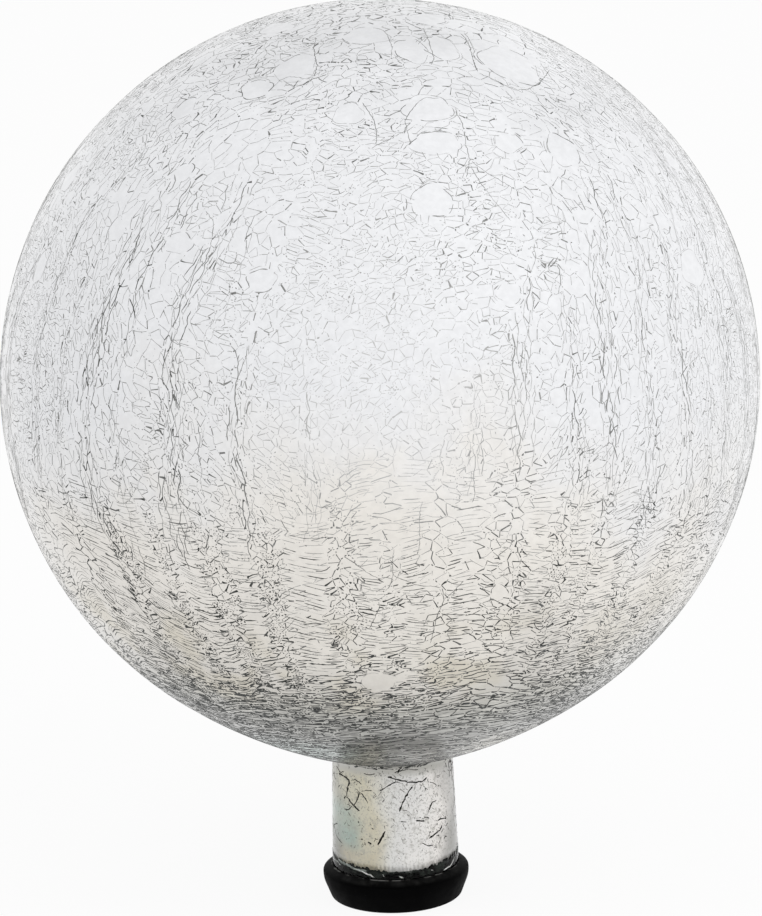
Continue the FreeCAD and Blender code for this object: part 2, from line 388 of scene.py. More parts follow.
class Skin:
    """The globe's outer surface, as tables along its outline."""

    def __init__(self, sizes):
        self.sizes = sizes
        mesh = bmesh.new()
        wall_outline(mesh, sizes, 0.0, 0.0, GLOBE_LOW.z, OUTER_STEPS)
        outline = np.array([(vertex.co.x, vertex.co.z) for vertex in mesh.verts])
        mesh.free()
        self.radii, self.heights = outline.T
        self.ways = np.concatenate(([0.0], np.cumsum(np.hypot(*np.diff(outline, axis=0).T))))
        self.out = -np.gradient(self.heights, self.ways)
        self.up = np.gradient(self.radii, self.ways)
        self.ball_end = (math.pi - sizes.shoulder_angle) * sizes.ball_radius
        self.shoulder_way = self.way_at(sizes.ball_height - sizes.ball_radius * 0.86)

    def radius(self, way):
        return np.interp(way, self.ways, self.radii)

    def height(self, way):
        return np.interp(way, self.ways, self.heights)

    def way_at(self, height):
        return np.interp(-np.asarray(height), -self.heights, self.ways)

    def normal(self, turn, way):
        out = np.interp(way, self.ways, self.out)
        return np.stack((out * np.sin(turn), -out * np.cos(turn), np.interp(way, self.ways, self.up)), axis=-1)

    def relief(self, turn, way):
        """How deep the blown surface lies under the plain outline: flutes between the optic ribs."""
        sizes = self.sizes
        fade = np.clip(way / (40.0 * MM), 0.0, 1.0) * np.clip((self.shoulder_way - way) / (30.0 * MM), 0.0, 1.0)
        flute = 0.5 - 0.5 * np.cos(sizes.rib_count * (turn - rib_lean(way)))
        sway = 0.5 + 0.25 * np.sin(3.0 * turn + 31.0 * way) + 0.25 * np.sin(2.0 * turn - 47.0 * way + 1.3)
        return sizes.rib_depth * (flute + 0.6 * sway) * fade / 1.6

    def place(self, turn, way):
        lift = -self.relief(turn, way)
        radius = self.radius(way) + lift * np.interp(way, self.ways, self.out)
        height = self.height(way) + lift * np.interp(way, self.ways, self.up)
        return np.stack((radius * np.sin(turn), -radius * np.cos(turn), height), axis=-1)

    def area(self, end):
        """The area of the outline turned by one radian, down to a way."""
        ways = np.linspace(0.0, end, 2000)
        return float(self.radius(ways).sum()) * (ways[1] - ways[0])


def rib_lean(way):
    """How far round Z the ribs lie at a way down the outline, in radians."""
    return math.radians(3.2) + 0.012 * np.sin(way * 24.0 + 0.6)


def ragged_edge(turn, sizes):
    """Height of the silver's lower edge at a turn: it dips at the front, and is chipped all round."""
    jag = (
        0.22 * np.sin(23.0 * turn + 0.4) + 0.20 * np.sin(41.0 * turn + 2.0) + 0.22 * np.sin(67.0 * turn + 1.1)
        + 0.34 * np.sin(101.0 * turn + 0.3) * np.sin(7.0 * turn))
    bay = 0.45 * np.sin(2.0 * turn - 1.2) + 0.30 * np.sin(3.0 * turn + 2.3)
    dip = -1.5 * np.exp(-((turn - 0.10) / 0.50) ** 2)
    return sizes.silver_height + (jag + bay + dip) * MM


def chipped(mesh, sizes, reach, drop=0.0):
    """Gives the vertices at the silver's lower edge its ragged height."""
    for vertex in mesh.verts:
        if abs(vertex.co.z - sizes.silver_height) < reach:
            vertex.co.z = ragged_edge(turn_of(vertex), sizes) - drop


class CrackNet:
    """The cracks of the ball, as the borders between cells round scattered seeds. The seeds are laid
    out on a flat disc where the cells come out round. Above, the cells on the glass lie in arcs round
    the middle of the front and back; below, they are wide and low between the ribs and narrow on them."""

    def __init__(self, skin, sizes):
        self.skin, self.sizes = skin, sizes
        self.random = random = np.random.default_rng(sizes.seed)
        self.broad, self.middle = Swells(random, 95 * MM), Swells(random, 34 * MM)
        self.lean, self.small = Swells(random, 44 * MM), Swells(random, 8 * MM, 20)
        self.turns = np.linspace(-math.pi, math.pi, 2881)
        self.ribs = {True: self.rib_table(HIGH_RIBS, 2.3), False: self.rib_table(LOW_RIBS, 2.2)}
        self.steps = np.concatenate((np.geomspace(0.2, 4.0, 24), np.arange(5.0, 400.0))) * MM
        flat = by_way(self.steps, (0, 60, 100, 180, 235, 265, 290, 325), (1, 1, 1.4, 1.9, 2, 2.4, 3.6, 4.4))
        self.low_reach = self.reaches(flat, skin.radius(np.minimum(self.steps, skin.ways[-1])))
        flat = by_way(self.steps, (0, 22, 60, 110, 200, 330), (1, 1.2, 1.7, 1.5, 1.4, 1.1))
        ball = skin.sizes.ball_radius
        self.high_reach = self.reaches(flat, ball * np.sin(np.minimum(self.steps / ball, 3.1)))
        self.cells = self.scatter_cells()

    def reaches(self, flat, radius):
        """How far out on the disc each step lies, on a log scale, for cells drawn out flat so many times."""
        slope = flat / np.maximum(radius, 0.1 * MM)
        return np.concatenate(([0.0], np.cumsum(np.diff(self.steps) * (slope[1:] + slope[:-1]) / 2)))

    def rib_table(self, front, half_width):
        """Tables round Z: how near a rib each turn lies, and how far the disc is turned there."""
        random = self.random
        ribs = list(front)
        last = front[-1][0] + 8.0
        while last < front[0][0] + 354.0:
            ribs.append((last, random.uniform(0.9, 1.45) if len(ribs) % 2 else random.uniform(0.35, 0.7)))
            last += random.uniform(5.8, 9.0)
        near = np.zeros(len(self.turns))
        for turn, strength in ribs:
            aside = wrapped(self.turns - math.radians(turn))
            near += strength * np.exp(-(aside / math.radians(half_width * random.uniform(0.8, 1.1))) ** 4)
        near = np.minimum(near, 1.5)
        excess = (0.8 + near) / (0.8 + near[:-1].mean()) - 1.0
        shift = np.concatenate(([0.0], np.cumsum((excess[1:] + excess[:-1]) / 2))) * FULL_TURN / (len(near) - 1)
        return near, shift, ribs

    def rib_sway(self, turn, way, places, high):
        """How far round Z the ribs have moved from their tables: they sway, lean to the right above and
        close in below."""
        sway = 1.1 * MM * self.middle(places) / np.maximum(self.skin.radius(way), 30 * MM)
        if high:
            sway = sway + math.radians(8.0) * np.clip((170 * MM - way) / (70 * MM), 0.0, 1.2)
        else:
            sway = sway - 1.7 * np.clip(way - 248 * MM, -43 * MM, 45 * MM) * np.sin(turn)
        return sway

    def rib_turn(self, turn, way, places, high):
        """The turn at which the ribs' tables hold for a place."""
        return wrapped(turn - self.rib_sway(turn, way, places, high))

    def rib_at(self, turn, way, places, high):
        """How near a rib each place lies, where the ribs show."""
        fade = by_way(way, (55, 105, 290, 325), (0.0, 1.0, 1.0, 0.3))
        return np.interp(self.rib_turn(turn, way, places, high), self.turns, self.ribs[high][0]) * fade

    def panel(self, rib, way):
        """1 in the panels between the lower ribs, and 0 on the ribs and right at the bottom."""
        return np.clip(1.0 - rib / 0.5, 0.0, 1.0) * by_way(way, (283, 293), (1.0, 0.0))

    def on_disc(self, turn, way, high):
        """Lays places of the glass out on the disc of the upper or the lower cells."""
        sizes, places = self.skin.sizes, self.skin.place(turn, way)
        ripple = (3.0 * self.broad(places) + 1.3 * self.middle(places) + 0.30 * self.small(places)) * MM
        rib_turn = self.rib_turn(turn, way, places, high)
        fade = by_way(way, (40, 100), (0.0, 1.0))
        angle = turn + fade * np.interp(rib_turn, self.turns, self.ribs[high][1])
        if high:
            front = Vector(ARC_MIDDLE).normalized()
            level = np.array(front.cross(UP_AXIS).normalized())
            up, aim = np.cross(level, front), np.array(front)
            high_share = np.clip((places[:, 2] - sizes.ball_height) / sizes.ball_radius, -1.0, 1.0)
            ring = np.sqrt(1.0 - high_share ** 2)
            out = np.stack((ring * np.sin(angle), -ring * np.cos(angle), high_share), axis=1)
            step = np.arccos(np.clip(out @ aim, -1.0, 1.0)) * sizes.ball_radius + ripple
            angle = np.arctan2(out @ up, out @ level)
            reach = np.interp(np.maximum(step, 0.2 * MM), self.steps, self.high_reach)
        else:
            leaning = 0.25 * self.lean(places) - 0.16 * np.sin(turn * 2.0) - 0.05
            panel = -leaning * self.skin.radius(way) / 45.0 * np.sin(45.0 * rib_turn)
            reach = np.interp(np.maximum(way - panel - ripple, 0.2 * MM), self.steps, self.low_reach)
        reach = np.exp(reach)
        return np.stack((reach * np.sin(angle), reach * np.cos(angle)), axis=1)

    def border(self, turn, places):
        """The way down at which the lower cells take over from the upper ones."""
        return (208 + 22 * np.sin(turn) ** 2 + 7 * self.broad(places) + 7 * self.middle(places)) * MM

    def to_place(self, turn, latitude):
        sizes = self.skin.sizes
        height = sizes.ball_height + sizes.ball_radius * math.sin(math.radians(latitude))
        return math.radians(turn), float(self.skin.way_at(height))

    def scatter_cells(self):
        """The front's smooth cells, and others of the same kinds over the rest of the ball."""
        random, skin = self.random, self.skin
        cells = [(*self.to_place(turn, latitude), wide / 2 * MM, high / 2 * MM)
                 for turn, latitude, wide, high in FRONT_CELLS]
        wanted = len(cells) + self.sizes.cell_count
        while len(cells) < wanted:
            turn = random.uniform(-180.0, 180.0)
            latitude = math.degrees(math.asin(random.uniform(-0.62, 0.985)))
            wide = random.uniform(2.6, 6.5) * MM * (0.8 + 0.5 * max(0.0, latitude) / 90.0)
            high = wide * random.uniform(0.6, 1.35)
            if abs(turn) < 60.0 and latitude < 72.0:
                continue
            turn, way = self.to_place(turn, latitude)
            radius = float(skin.radius(way))
            apart = min(
                math.hypot(wrapped(turn - other[0]) * radius, way - other[1]) - max(other[2:]) for other in cells)
            if apart > max(wide, high) + 2.5 * MM:
                cells.append((turn, way, wide, high))
        return np.array(cells)

    def cell_size(self, angle, cell):
        """How far a smooth cell's outline bulges past its oval at an angle."""
        bulge = 0.07 * np.sin(3.0 * angle + cell[..., 1] * 900.0)
        return 1.0 + bulge + 0.05 * np.sin(5.0 * angle + cell[..., 0] * 50.0)

    def from_cells(self, turn, way):
        """How far each place lies outside the outline of its nearest smooth cell."""
        across = wrapped(turn[:, None] - self.cells[:, 0]) * self.skin.radius(way)[:, None] / self.cells[:, 2]
        down = (way[:, None] - self.cells[:, 1]) / self.cells[:, 3]
        small = self.cells[:, 2:].min(axis=1)
        far = np.hypot(across, down)
        nearest = ((far - 1.0) * small).argmin(axis=1)
        rows = np.arange(len(turn))
        angle = np.arctan2(down[rows, nearest], across[rows, nearest])
        return (far[rows, nearest] / self.cell_size(angle, self.cells[nearest]) - 1.0) * small[nearest]

    def scatter(self, count):
        """Places spread evenly over the ball and its shoulder."""
        ways = np.linspace(0.3 * MM, self.end_way + 4 * MM, 2000)
        share = np.cumsum(self.skin.radius(ways))
        turn = self.random.uniform(-math.pi, math.pi, count)
        return turn, np.interp(self.random.uniform(0.0, share[-1], count), share, ways)

    def seed(self, high):
        """Scatters the seeds of the upper or the lower cells."""
        random, skin, sizes = self.random, self.skin, self.sizes
        area = FULL_TURN * skin.area(self.end_way + 4 * MM) / MM ** 2
        most = 3.6
        turn, way = self.scatter(int(area * sizes.per_area * most))
        places = skin.place(turn, way)
        rib = self.rib_at(turn, way, places, high)
        wanted = 1.0 + 0.30 * np.clip(self.broad(places), -1.5, 1.5)
        wanted = wanted + 0.2 * np.clip(self.middle(places), -1.5, 1.5)
        if high:
            wanted *= 0.95 + 0.2 * rib
            wanted *= by_way(way, (0, 40, 70, 100, 130, 200), (0.6, 0.7, 0.9, 1.2, 1.25, 1.15))
        else:
            wanted *= 1.8 - 1.2 * self.panel(rib, way)
            wanted *= by_way(way, (200, 262, 280, 300, 330), (1.0, 1.2, 1.1, 0.82, 0.70))
        side = (way - self.border(turn, places)) * (1.0 if high else -1.0)
        kept = (random.random(len(turn)) * most < wanted) & (side < 6 * MM)
        kept &= self.from_cells(turn, way) > 0.35 * MM
        turn, way = turn[kept], way[kept]
        for star_turn, star_way in self.star_places:
            far = np.hypot((turn - star_turn) * skin.radius(star_way), way - star_way) > 1.0 * MM
            turn, way = turn[far], way[far]
        return turn, way

    def stars(self):
        """Points that cracks fan out from: the front's, and others over the rest of the ball."""
        random = self.random
        stars = [self.to_place(*star) for star in FRONT_STARS]
        while len(stars) < len(FRONT_STARS) + self.sizes.star_count:
            turn, latitude = random.uniform(-180, 180), math.degrees(math.asin(random.uniform(-0.75, 0.97)))
            if abs(turn) > 50.0 or latitude > 68.0:
                stars.append(self.to_place(turn, latitude))
        return stars

    def surface(self, places):
        """The turn and the way of places near the glass."""
        sizes = self.skin.sizes
        radius, up = np.hypot(places[:, 0], places[:, 1]), places[:, 2] - sizes.ball_height
        on_ball = (math.pi / 2 - np.arctan2(up, radius)) * sizes.ball_radius
        low = on_ball > self.skin.ball_end
        return np.arctan2(places[:, 0], -places[:, 1]), np.where(low, self.skin.way_at(places[:, 2]), on_ball)

    def borders(self, high):
        """The places of the ends of each border between two cells."""
        turn, way = self.seed(high)
        disc = self.on_disc(turn, way, high)
        places = [Vector(place) for place in disc.tolist()]
        _, _, triangles, origins, _, _ = delaunay_2d_cdt(places, [], [], 0, 1e-5)
        corners = np.array([origin[0] for origin in origins])[np.array(triangles)]

        # The corner where three cells meet is as far from each of their seeds
        spots = disc[corners]
        sides = [((spots[:, (side + 1) % 3] - spots[:, (side + 2) % 3]) ** 2).sum(axis=1) for side in range(3)]
        total = sum(sides)
        shares = np.stack([side * (total - 2 * side) for side in sides], axis=1)
        whole = shares.sum(axis=1, keepdims=True)
        shares /= np.where(np.abs(whole) < 1e-30, 1e-30, whole)
        meets = (self.skin.place(turn, way)[corners] * shares[:, :, None]).sum(axis=1)
        sound = np.abs(shares).max(axis=1) < 4.0

        pairs = np.sort(np.concatenate((corners[:, :2], corners[:, 1:], corners[:, ::2])), axis=1)
        owner = np.tile(np.arange(len(corners)), 3)
        order = np.lexsort((pairs[:, 1], pairs[:, 0]))
        pairs, owner = pairs[order], owner[order]
        same = np.flatnonzero((pairs[1:] == pairs[:-1]).all(axis=1))
        first, second = owner[same], owner[same + 1]
        good = sound[first] & sound[second]
        return meets, first[good], second[good]

    def cracks(self):
        """Every crack of the ball, in tables of strokes with one number of places."""
        self.end_way = float(self.skin.way_at(CRACKS_END))
        self.star_places = self.stars()
        found = self.outlines() + self.rays() + self.strands() + [self.ladders()]
        for high in (True, False):
            found += self.strokes(high)
        return [*found, self.flecks()]

    def drawn(self, deep):
        """The width and depth of each crack, from whether it is a deep one."""
        random, sizes = self.random, self.sizes
        width = np.where(deep, sizes.deep_width, sizes.fine_width) * random.uniform(0.75, 1.25, len(deep))
        return width, np.where(deep, random.uniform(0.70, 1.0, len(deep)), random.uniform(0.18, 0.62, len(deep)))

    def strokes(self, high):
        random, skin = self.random, self.skin
        meets, first, second = self.borders(high)
        start, end = meets[first], meets[second]

        # A crack that runs into a smooth cell stops at its outline
        apart = self.from_cells(*self.surface(start)), self.from_cells(*self.surface(end))
        cut = (apart[0] / np.where(apart[0] == apart[1], 1.0, apart[0] - apart[1]))[:, None]
        outline = (apart[0] < 0.0) != (apart[1] < 0.0)
        crossing = start + (end - start) * cut
        start = np.where((outline & (apart[0] < 0.0))[:, None], crossing, start)
        end = np.where((outline & (apart[1] < 0.0))[:, None], crossing, end)

        along = end - start
        length = np.linalg.norm(along, axis=1)
        middle = (start + end) / 2
        turn, way = self.surface(middle)
        rib = np.minimum(self.rib_at(turn, way, middle, high), 1.0)
        steep = np.abs(along[:, 2]) / np.maximum(length, 1e-9)
        if high:
            keep = 0.90 - 0.34 * rib * np.clip(steep * 1.4, 0.0, 1.0)
        else:
            keep = 0.97 - self.panel(rib, way) * (0.62 + 0.22 * np.clip((steep - 0.3) / 0.4, 0.0, 1.0))
        low_end = np.maximum(self.surface(start)[1], self.surface(end)[1])
        kept = (random.random(len(length)) < keep) & (length > 0.25 * MM) & (length < 18 * MM)
        kept &= (low_end < self.end_way) & (way > 2.5 * MM) & (self.from_cells(turn, way) > 0.0)
        kept &= (way < self.border(turn, middle)) == high
        kept &= (apart[0] > 0.0) | (apart[1] > 0.0)
        coarse = self.small(middle) + 0.5 * self.middle(middle)
        lower = by_way(way, (25, 60, 100, 190, 250, 275, 290), (0.32, 0.16, 0.04, 0.0, 0.14, 0.42, 0.95))
        deep = random.random(len(length)) < np.clip(
            0.05 + 0.07 * coarse + (0.14 if high else 0.50) * rib + lower, 0.03, 0.97)
        wide, depth = self.drawn(deep)
        faint = np.clip(1.0 - 1.6 * rib, 0.0, 1.0) * by_way(way, (60, 110, 200, 220), (0.0, 1.0, 1.0, 0.3))
        wide, depth = wide * (1.0 - 0.16 * faint), depth * (1.0 - 0.30 * faint)
        swell = by_way(
            way, (20, 50, 90, 220, 250, 270, 285, 300, 330), (1.7, 1.35, 1.05, 1.0, 1.15, 1.35, 1.7, 2.0, 2.6))
        wide *= 1.0 + (swell - 1.0) * (1.0 - 0.75 * steep)
        wide *= 1.0 + 0.28 * np.clip(-middle[:, 0] / (60 * MM) - 0.4, 0.0, 1.0)
        node_wide = np.where(random.random(len(meets)) < 0.13, 2.1, random.uniform(0.8, 1.3, len(meets)))
        side = np.cross(along, middle - np.array((0.0, 0.0, skin.sizes.ball_height)))
        side /= np.maximum(np.linalg.norm(side, axis=1, keepdims=True), 1e-12)

        # Many cracks break off before they meet the next one
        short = random.random((2, len(length))) < 0.08
        ends = np.where(short, random.uniform(0.06, 0.42, (2, len(length))), -0.12 * MM / np.maximum(length, 1e-5))
        found = []
        limits = (0.25 * MM, 1.7 * MM, 4.0 * MM, 8.0 * MM, 18 * MM)
        for count, (shortest, longest) in enumerate(zip(limits, limits[1:]), start=3):
            chosen = np.flatnonzero(kept & (length >= shortest) & (length < longest))
            shares = np.linspace(0.12, 0.88, count - 2) if count > 3 else np.array([0.5])
            shares = np.concatenate(([0.0], shares, [1.0]))[None, :] + np.zeros((len(chosen), 1))
            if count > 4:
                shares[:, 2:-2] += random.uniform(-0.07, 0.07, (len(chosen), count - 4))
            from_start, to_end = ends[0, chosen, None], 1.0 - ends[1, chosen, None]
            shares = from_start + (to_end - from_start) * shares
            aside = np.sin(math.pi * shares) * random.uniform(-0.08, 0.08, (len(chosen), 1))
            aside[:, 1:-1] += random.uniform(-0.05, 0.05, (len(chosen), count - 2))
            path = start[chosen, None] + along[chosen, None] * shares[..., None]
            path = path + side[chosen, None] * (aside * length[chosen, None])[..., None]
            turns, ways = self.surface(path.reshape(-1, 3))
            widths = wide[chosen, None] * random.uniform(0.55, 1.05, (len(chosen), count))
            widths[:, 1] = wide[chosen] * node_wide[first[chosen]] * 0.9
            far_end = wide[chosen] * node_wide[second[chosen]] * 0.9
            widths[:, -2] = np.maximum(widths[:, -2], far_end) if count == 3 else far_end
            found.append((turns.reshape(-1, count), ways.reshape(-1, count), widths, depth[chosen], way[chosen]))
        return found

    def strands(self):
        """Wavy cracks that run down the upper ribs side by side, with long narrow cells between them."""
        random, skin, found = self.random, self.skin, []
        for rib, strength in self.ribs[True][2]:
            count = int(round(2.0 + 3.2 * strength))
            for strand in range(count):
                begin = np.interp(abs(rib), (7, 13, 22, 40), (188, 168, 124, 92))
                way = (begin + random.uniform(0.0, 26.0)) * MM
                while way < 232 * MM:
                    steps = int(random.integers(6, 18))
                    ways = way + np.arange(steps) * STRAND_STEP
                    way = ways[-1] + (random.uniform(0.4, 2.0) * MM if random.random() < 0.22 else 0.0)
                    bulge = math.pi * (ways / (4.6 * MM) + strand + 0.3 * rib) + 0.5 * np.sin(ways / (6.0 * MM))
                    aside = (strand - (count - 1) / 2.0) * STRAND_GAP + 0.42 * MM * np.sin(bulge)
                    aside = aside + random.normal(0.0, 0.13 * MM, steps)
                    middle_way = ways[steps // 2]
                    turn = math.radians(rib) + aside / skin.radius(ways)
                    turns = turn
                    for _ in range(2):
                        turns = turn + self.rib_sway(turns, ways, skin.place(turns, ways), True)
                    turns = turns - FULL_TURN * round(float(turns.mean()) / FULL_TURN)
                    place = skin.place(turns[steps // 2], middle_way)[None]
                    if middle_way > self.border(turns[steps // 2], place)[0] + 6 * MM:
                        break
                    edge = abs(strand - (count - 1) / 2.0) / max(1.0, (count - 1) / 2.0)
                    strong = strength * float(by_way(middle_way, (90, 135, 175), (0.2, 0.6, 1.0)))
                    if random.random() > 0.64 + 0.30 * strong - 0.28 * edge + 0.10 * float(self.middle(place)[0]):
                        continue
                    if self.from_cells(turns, ways).min() < 0.4 * MM:
                        continue
                    width, depth = self.drawn(np.array([random.random() < 0.17 + 0.30 * strong - 0.12 * edge]))
                    widths = (0.80 + 0.2 * min(strong, 1.2)) * width * random.uniform(0.6, 1.15, steps)
                    found.append((turns[None], ways[None], widths[None], depth, middle_way[None]))
        return found

    def ladders(self):
        """Near level cracks across the panels between the lower ribs, like rungs."""
        random, skin = self.random, self.skin
        ribs = np.sort(np.radians([turn for turn, _ in self.ribs[False][2]]) % FULL_TURN)
        spans = []
        for left, right in zip(ribs, [*ribs[1:], ribs[0] + FULL_TURN]):
            way = (198 + np.cumsum(random.uniform(0.8, 1.7, RUNG_COUNT))) * MM
            inset = math.radians(2.2) * random.uniform(0.35, 1.0, (2, RUNG_COUNT))
            start, end = left + inset[0], right - inset[1]
            split = random.random(RUNG_COUNT) < 0.42
            cut = start + (end - start) * random.uniform(0.25, 0.75, RUNG_COUNT)
            panel = np.full((2, RUNG_COUNT), (((left + right) / 2,), (random.normal(0.0, 0.45) * MM,)))
            spans.append((start, np.where(split, cut, end), way, *panel))
            beside = way + random.normal(0.0, 0.3 * MM, RUNG_COUNT)
            spans.append(tuple(part[split] for part in (cut + math.radians(0.4), end, beside, *panel)))
        start, end, way, middle, bow = (np.concatenate(part)[:, None] for part in zip(*spans))
        shares = np.linspace(0.0, 1.0, 5) + random.uniform(-0.06, 0.06, (len(way), 5))
        table_turn = start + (end - start) * shares
        across = (table_turn - middle) * skin.radius(way)
        places = skin.place(table_turn, way + 0.0 * table_turn)
        slope = 0.20 * self.lean(places) - 0.09 * np.sin(table_turn * 2.0)
        slope = slope + 0.34 * np.exp(-((table_turn + 0.22) / 0.14) ** 2)
        slope = slope + 0.16 * np.exp(-((table_turn - 0.10) / 0.08) ** 2)
        ways = way + slope * across + bow * (1.0 - (across / (5.0 * MM)) ** 2)
        ways = ways + random.normal(0.0, 0.07 * MM, table_turn.shape)
        turns = table_turn
        for _ in range(3):
            turns = table_turn + self.rib_sway(turns, ways, skin.place(turns, ways), False)
        turns = wrapped(turns)
        places = skin.place(turns[:, 2], ways[:, 2])
        kept = (end - start > math.radians(0.8))[:, 0] & (random.random(len(way)) < 0.86)
        kept &= ways[:, 2] < 287 * MM
        kept &= ways[:, 2] > self.border(turns[:, 2], places) - 3 * MM
        kept &= self.from_cells(turns[:, 2], ways[:, 2]) > 0.5 * MM
        kept &= np.abs(np.diff(turns, axis=1)).max(axis=1) < 1.0
        turns, ways = turns[kept], ways[kept]
        deep = random.random(len(turns)) < by_way(ways[:, 2], (200, 275), (0.10, 0.48))
        wide, depth = self.drawn(deep)
        wide = wide * by_way(ways[:, 2], (220, 262, 285), (1.05, 1.4, 1.9))
        return turns, ways, wide[:, None] * random.uniform(0.6, 1.1, turns.shape), depth, ways[:, 2]

    def flecks(self):
        """Short loose cracks: upright near the ribs, and near level between them."""
        random, skin = self.random, self.skin
        turn, way = self.scatter(self.sizes.fleck_count)
        places = skin.place(turn, way)
        high = way < self.border(turn, places)
        rib = np.where(high, self.rib_at(turn, way, places, True), self.rib_at(turn, way, places, False))
        kept = (self.from_cells(turn, way) > 1.2 * MM) & (way > 4 * MM) & (way < 285 * MM)
        share = 0.55 + 0.45 * np.minimum(rib, 1.0) + 0.3 * np.clip(self.middle(places), -1.0, 1.0)
        kept &= random.random(len(turn)) < share
        turn, way, rib = turn[kept], way[kept], rib[kept]
        upright = random.random(len(turn)) < 0.15 + 0.65 * rib
        heading = np.where(upright, math.pi / 2, 0.0) + random.normal(0.0, 0.28, len(turn))
        reach = random.uniform(0.3, 0.95, len(turn))[:, None] * MM * np.array((-1.0, 0.0, 1.0))
        bend = random.normal(0.0, 0.07, len(turn))[:, None] * MM * np.array((0.0, 1.0, 0.0))
        across = reach * np.cos(heading)[:, None] - bend * np.sin(heading)[:, None]
        down = reach * np.sin(heading)[:, None] + bend * np.cos(heading)[:, None]
        deep = random.random(len(turn)) < by_way(way, (190, 280), (0.08, 0.30))
        wide, depth = self.drawn(deep)
        turns = turn[:, None] + across / skin.radius(way)[:, None]
        return turns, way[:, None] + down, wide[:, None] * np.ones(3), depth, way

    def outlines(self):
        """Broken outlines round the smooth cells, doubled or trebled in places, and fainter lower down."""
        random, found = self.random, []
        for cell in self.cells:
            turn, way, wide, high = cell
            faint = float(by_way(way, (100, 150, 230, 260), (1.0, 0.7, 0.7, 1.0)))
            arcs = int(random.integers(4, 8))
            start = random.uniform(0.0, FULL_TURN)
            for arc in range(arcs):
                for layer in range(int(random.choice((1, 1, 2, 3)))):
                    reach = FULL_TURN / arcs * random.uniform(0.7, 1.15) * (0.7 if layer else 1.0)
                    steps = max(4, int(reach * (wide + high) / 2 / (0.9 * MM)) + 1)
                    begin = start + FULL_TURN * arc / arcs + random.normal(0.0, 0.08)
                    angle = begin + np.linspace(0.0, reach, steps)
                    size = self.cell_size(angle, cell)
                    out = layer * random.uniform(0.5, 0.9) * MM
                    out = out + np.linspace(*random.normal(0.0, 0.25 * MM, 2), steps)
                    turns = turn + (wide * size + out) * np.cos(angle) / self.skin.radius(way)
                    ways = np.maximum(way + (high * size + out) * np.sin(angle), 1.0 * MM)
                    width, depth = self.drawn(np.array([random.random() < (0.25 if layer else 0.5) * faint]))
                    widths = 0.9 * width * random.uniform(0.5, 1.25, steps)
                    found.append((turns[None], ways[None], widths[None], depth * faint, ways.mean(keepdims=True)))
        return found

    def rays(self):
        """Cracks that fan out from the stars, longest to the sides."""
        random, found = self.random, []
        for turn, way in self.star_places:
            count = int(random.integers(5, 9))
            for ray in range(count):
                heading = FULL_TURN * (ray + random.uniform(-0.45, 0.45)) / count
                reach = random.uniform(1.2, 5.0) * (0.6 + 1.2 * abs(math.cos(heading)))
                steps = np.linspace(0.1 * MM, reach * MM, 5)
                heading = heading + random.normal(0.0, 0.09) * np.arange(5)
                turns = turn + steps * np.cos(heading) / self.skin.radius(way)
                ways = way + steps * np.sin(heading)
                width, depth = self.drawn(np.array([random.random() < 0.35]))
                taper = np.array((1.1, 1.1, 0.9, 0.8, 0.6))
                found.append((turns[None], ways[None], (width * taper)[None], depth, ways.mean(keepdims=True)))
        return found


def drawn_lines(skin, lines, random, widen=1.0):
    """Strokes of listed cracks, with a place about every 0.8 mm."""
    strokes = []
    for width, *places in lines:
        turns, ways = np.radians(places[::2]), skin.way_at(np.array(places[1::2]) * MM)
        at = np.concatenate(([0.0], np.cumsum(np.hypot(np.diff(turns) * skin.radius(ways[1:]), np.diff(ways)))))
        steps = np.linspace(0.0, at[-1], max(4, int(at[-1] / (0.8 * MM)) + 1))
        turn = np.interp(steps, at, turns) + random.normal(0.0, 0.10 * MM, len(steps)) / skin.radius(ways[0])
        way = np.interp(steps, at, ways) + random.normal(0.0, 0.10 * MM, len(steps))
        widths = width * widen * MM * random.uniform(0.5, 1.25, (1, len(steps)))
        strokes.append((turn[None], way[None], widths, np.array([1.0])))
    return strokes


def crack_rails(skin, strokes):
    """The three edges of each crack's wedge, as one table of places, and the steps that join them.
    Strokes start with turns, ways and widths: tables with a row for each crack."""
    turn, way, wide = (np.concatenate([stroke[part].ravel() for stroke in strokes]) for part in range(3))
    counts = np.concatenate([np.full(len(stroke[0]), stroke[0].shape[1]) for stroke in strokes])
    ends = np.cumsum(counts)
    starts = ends - counts
    tips = np.zeros(len(turn), bool)
    tips[starts] = tips[ends - 1] = True
    wide[tips] = 0.0
    middle = skin.place(turn, way)
    normal = skin.normal(turn, way)
    before = np.maximum(np.arange(len(turn)) - 1, np.repeat(starts, counts))
    after = np.minimum(np.arange(len(turn)) + 1, np.repeat(ends - 1, counts))
    side = np.cross(normal, middle[after] - middle[before])
    side /= np.maximum(np.linalg.norm(side, axis=1, keepdims=True), 1e-12)
    side *= (wide * ((CRACK_RISE + CRACK_SINK) / CRACK_RISE / 2.0))[:, None]
    rise = np.where(tips, -CRACK_SINK, CRACK_RISE)[:, None]
    low = middle - normal * CRACK_SINK
    rails = [low + side, middle + normal * rise, low - side]
    joined = np.flatnonzero(np.arange(len(turn)) != np.repeat(ends - 1, counts))
    return rails, joined


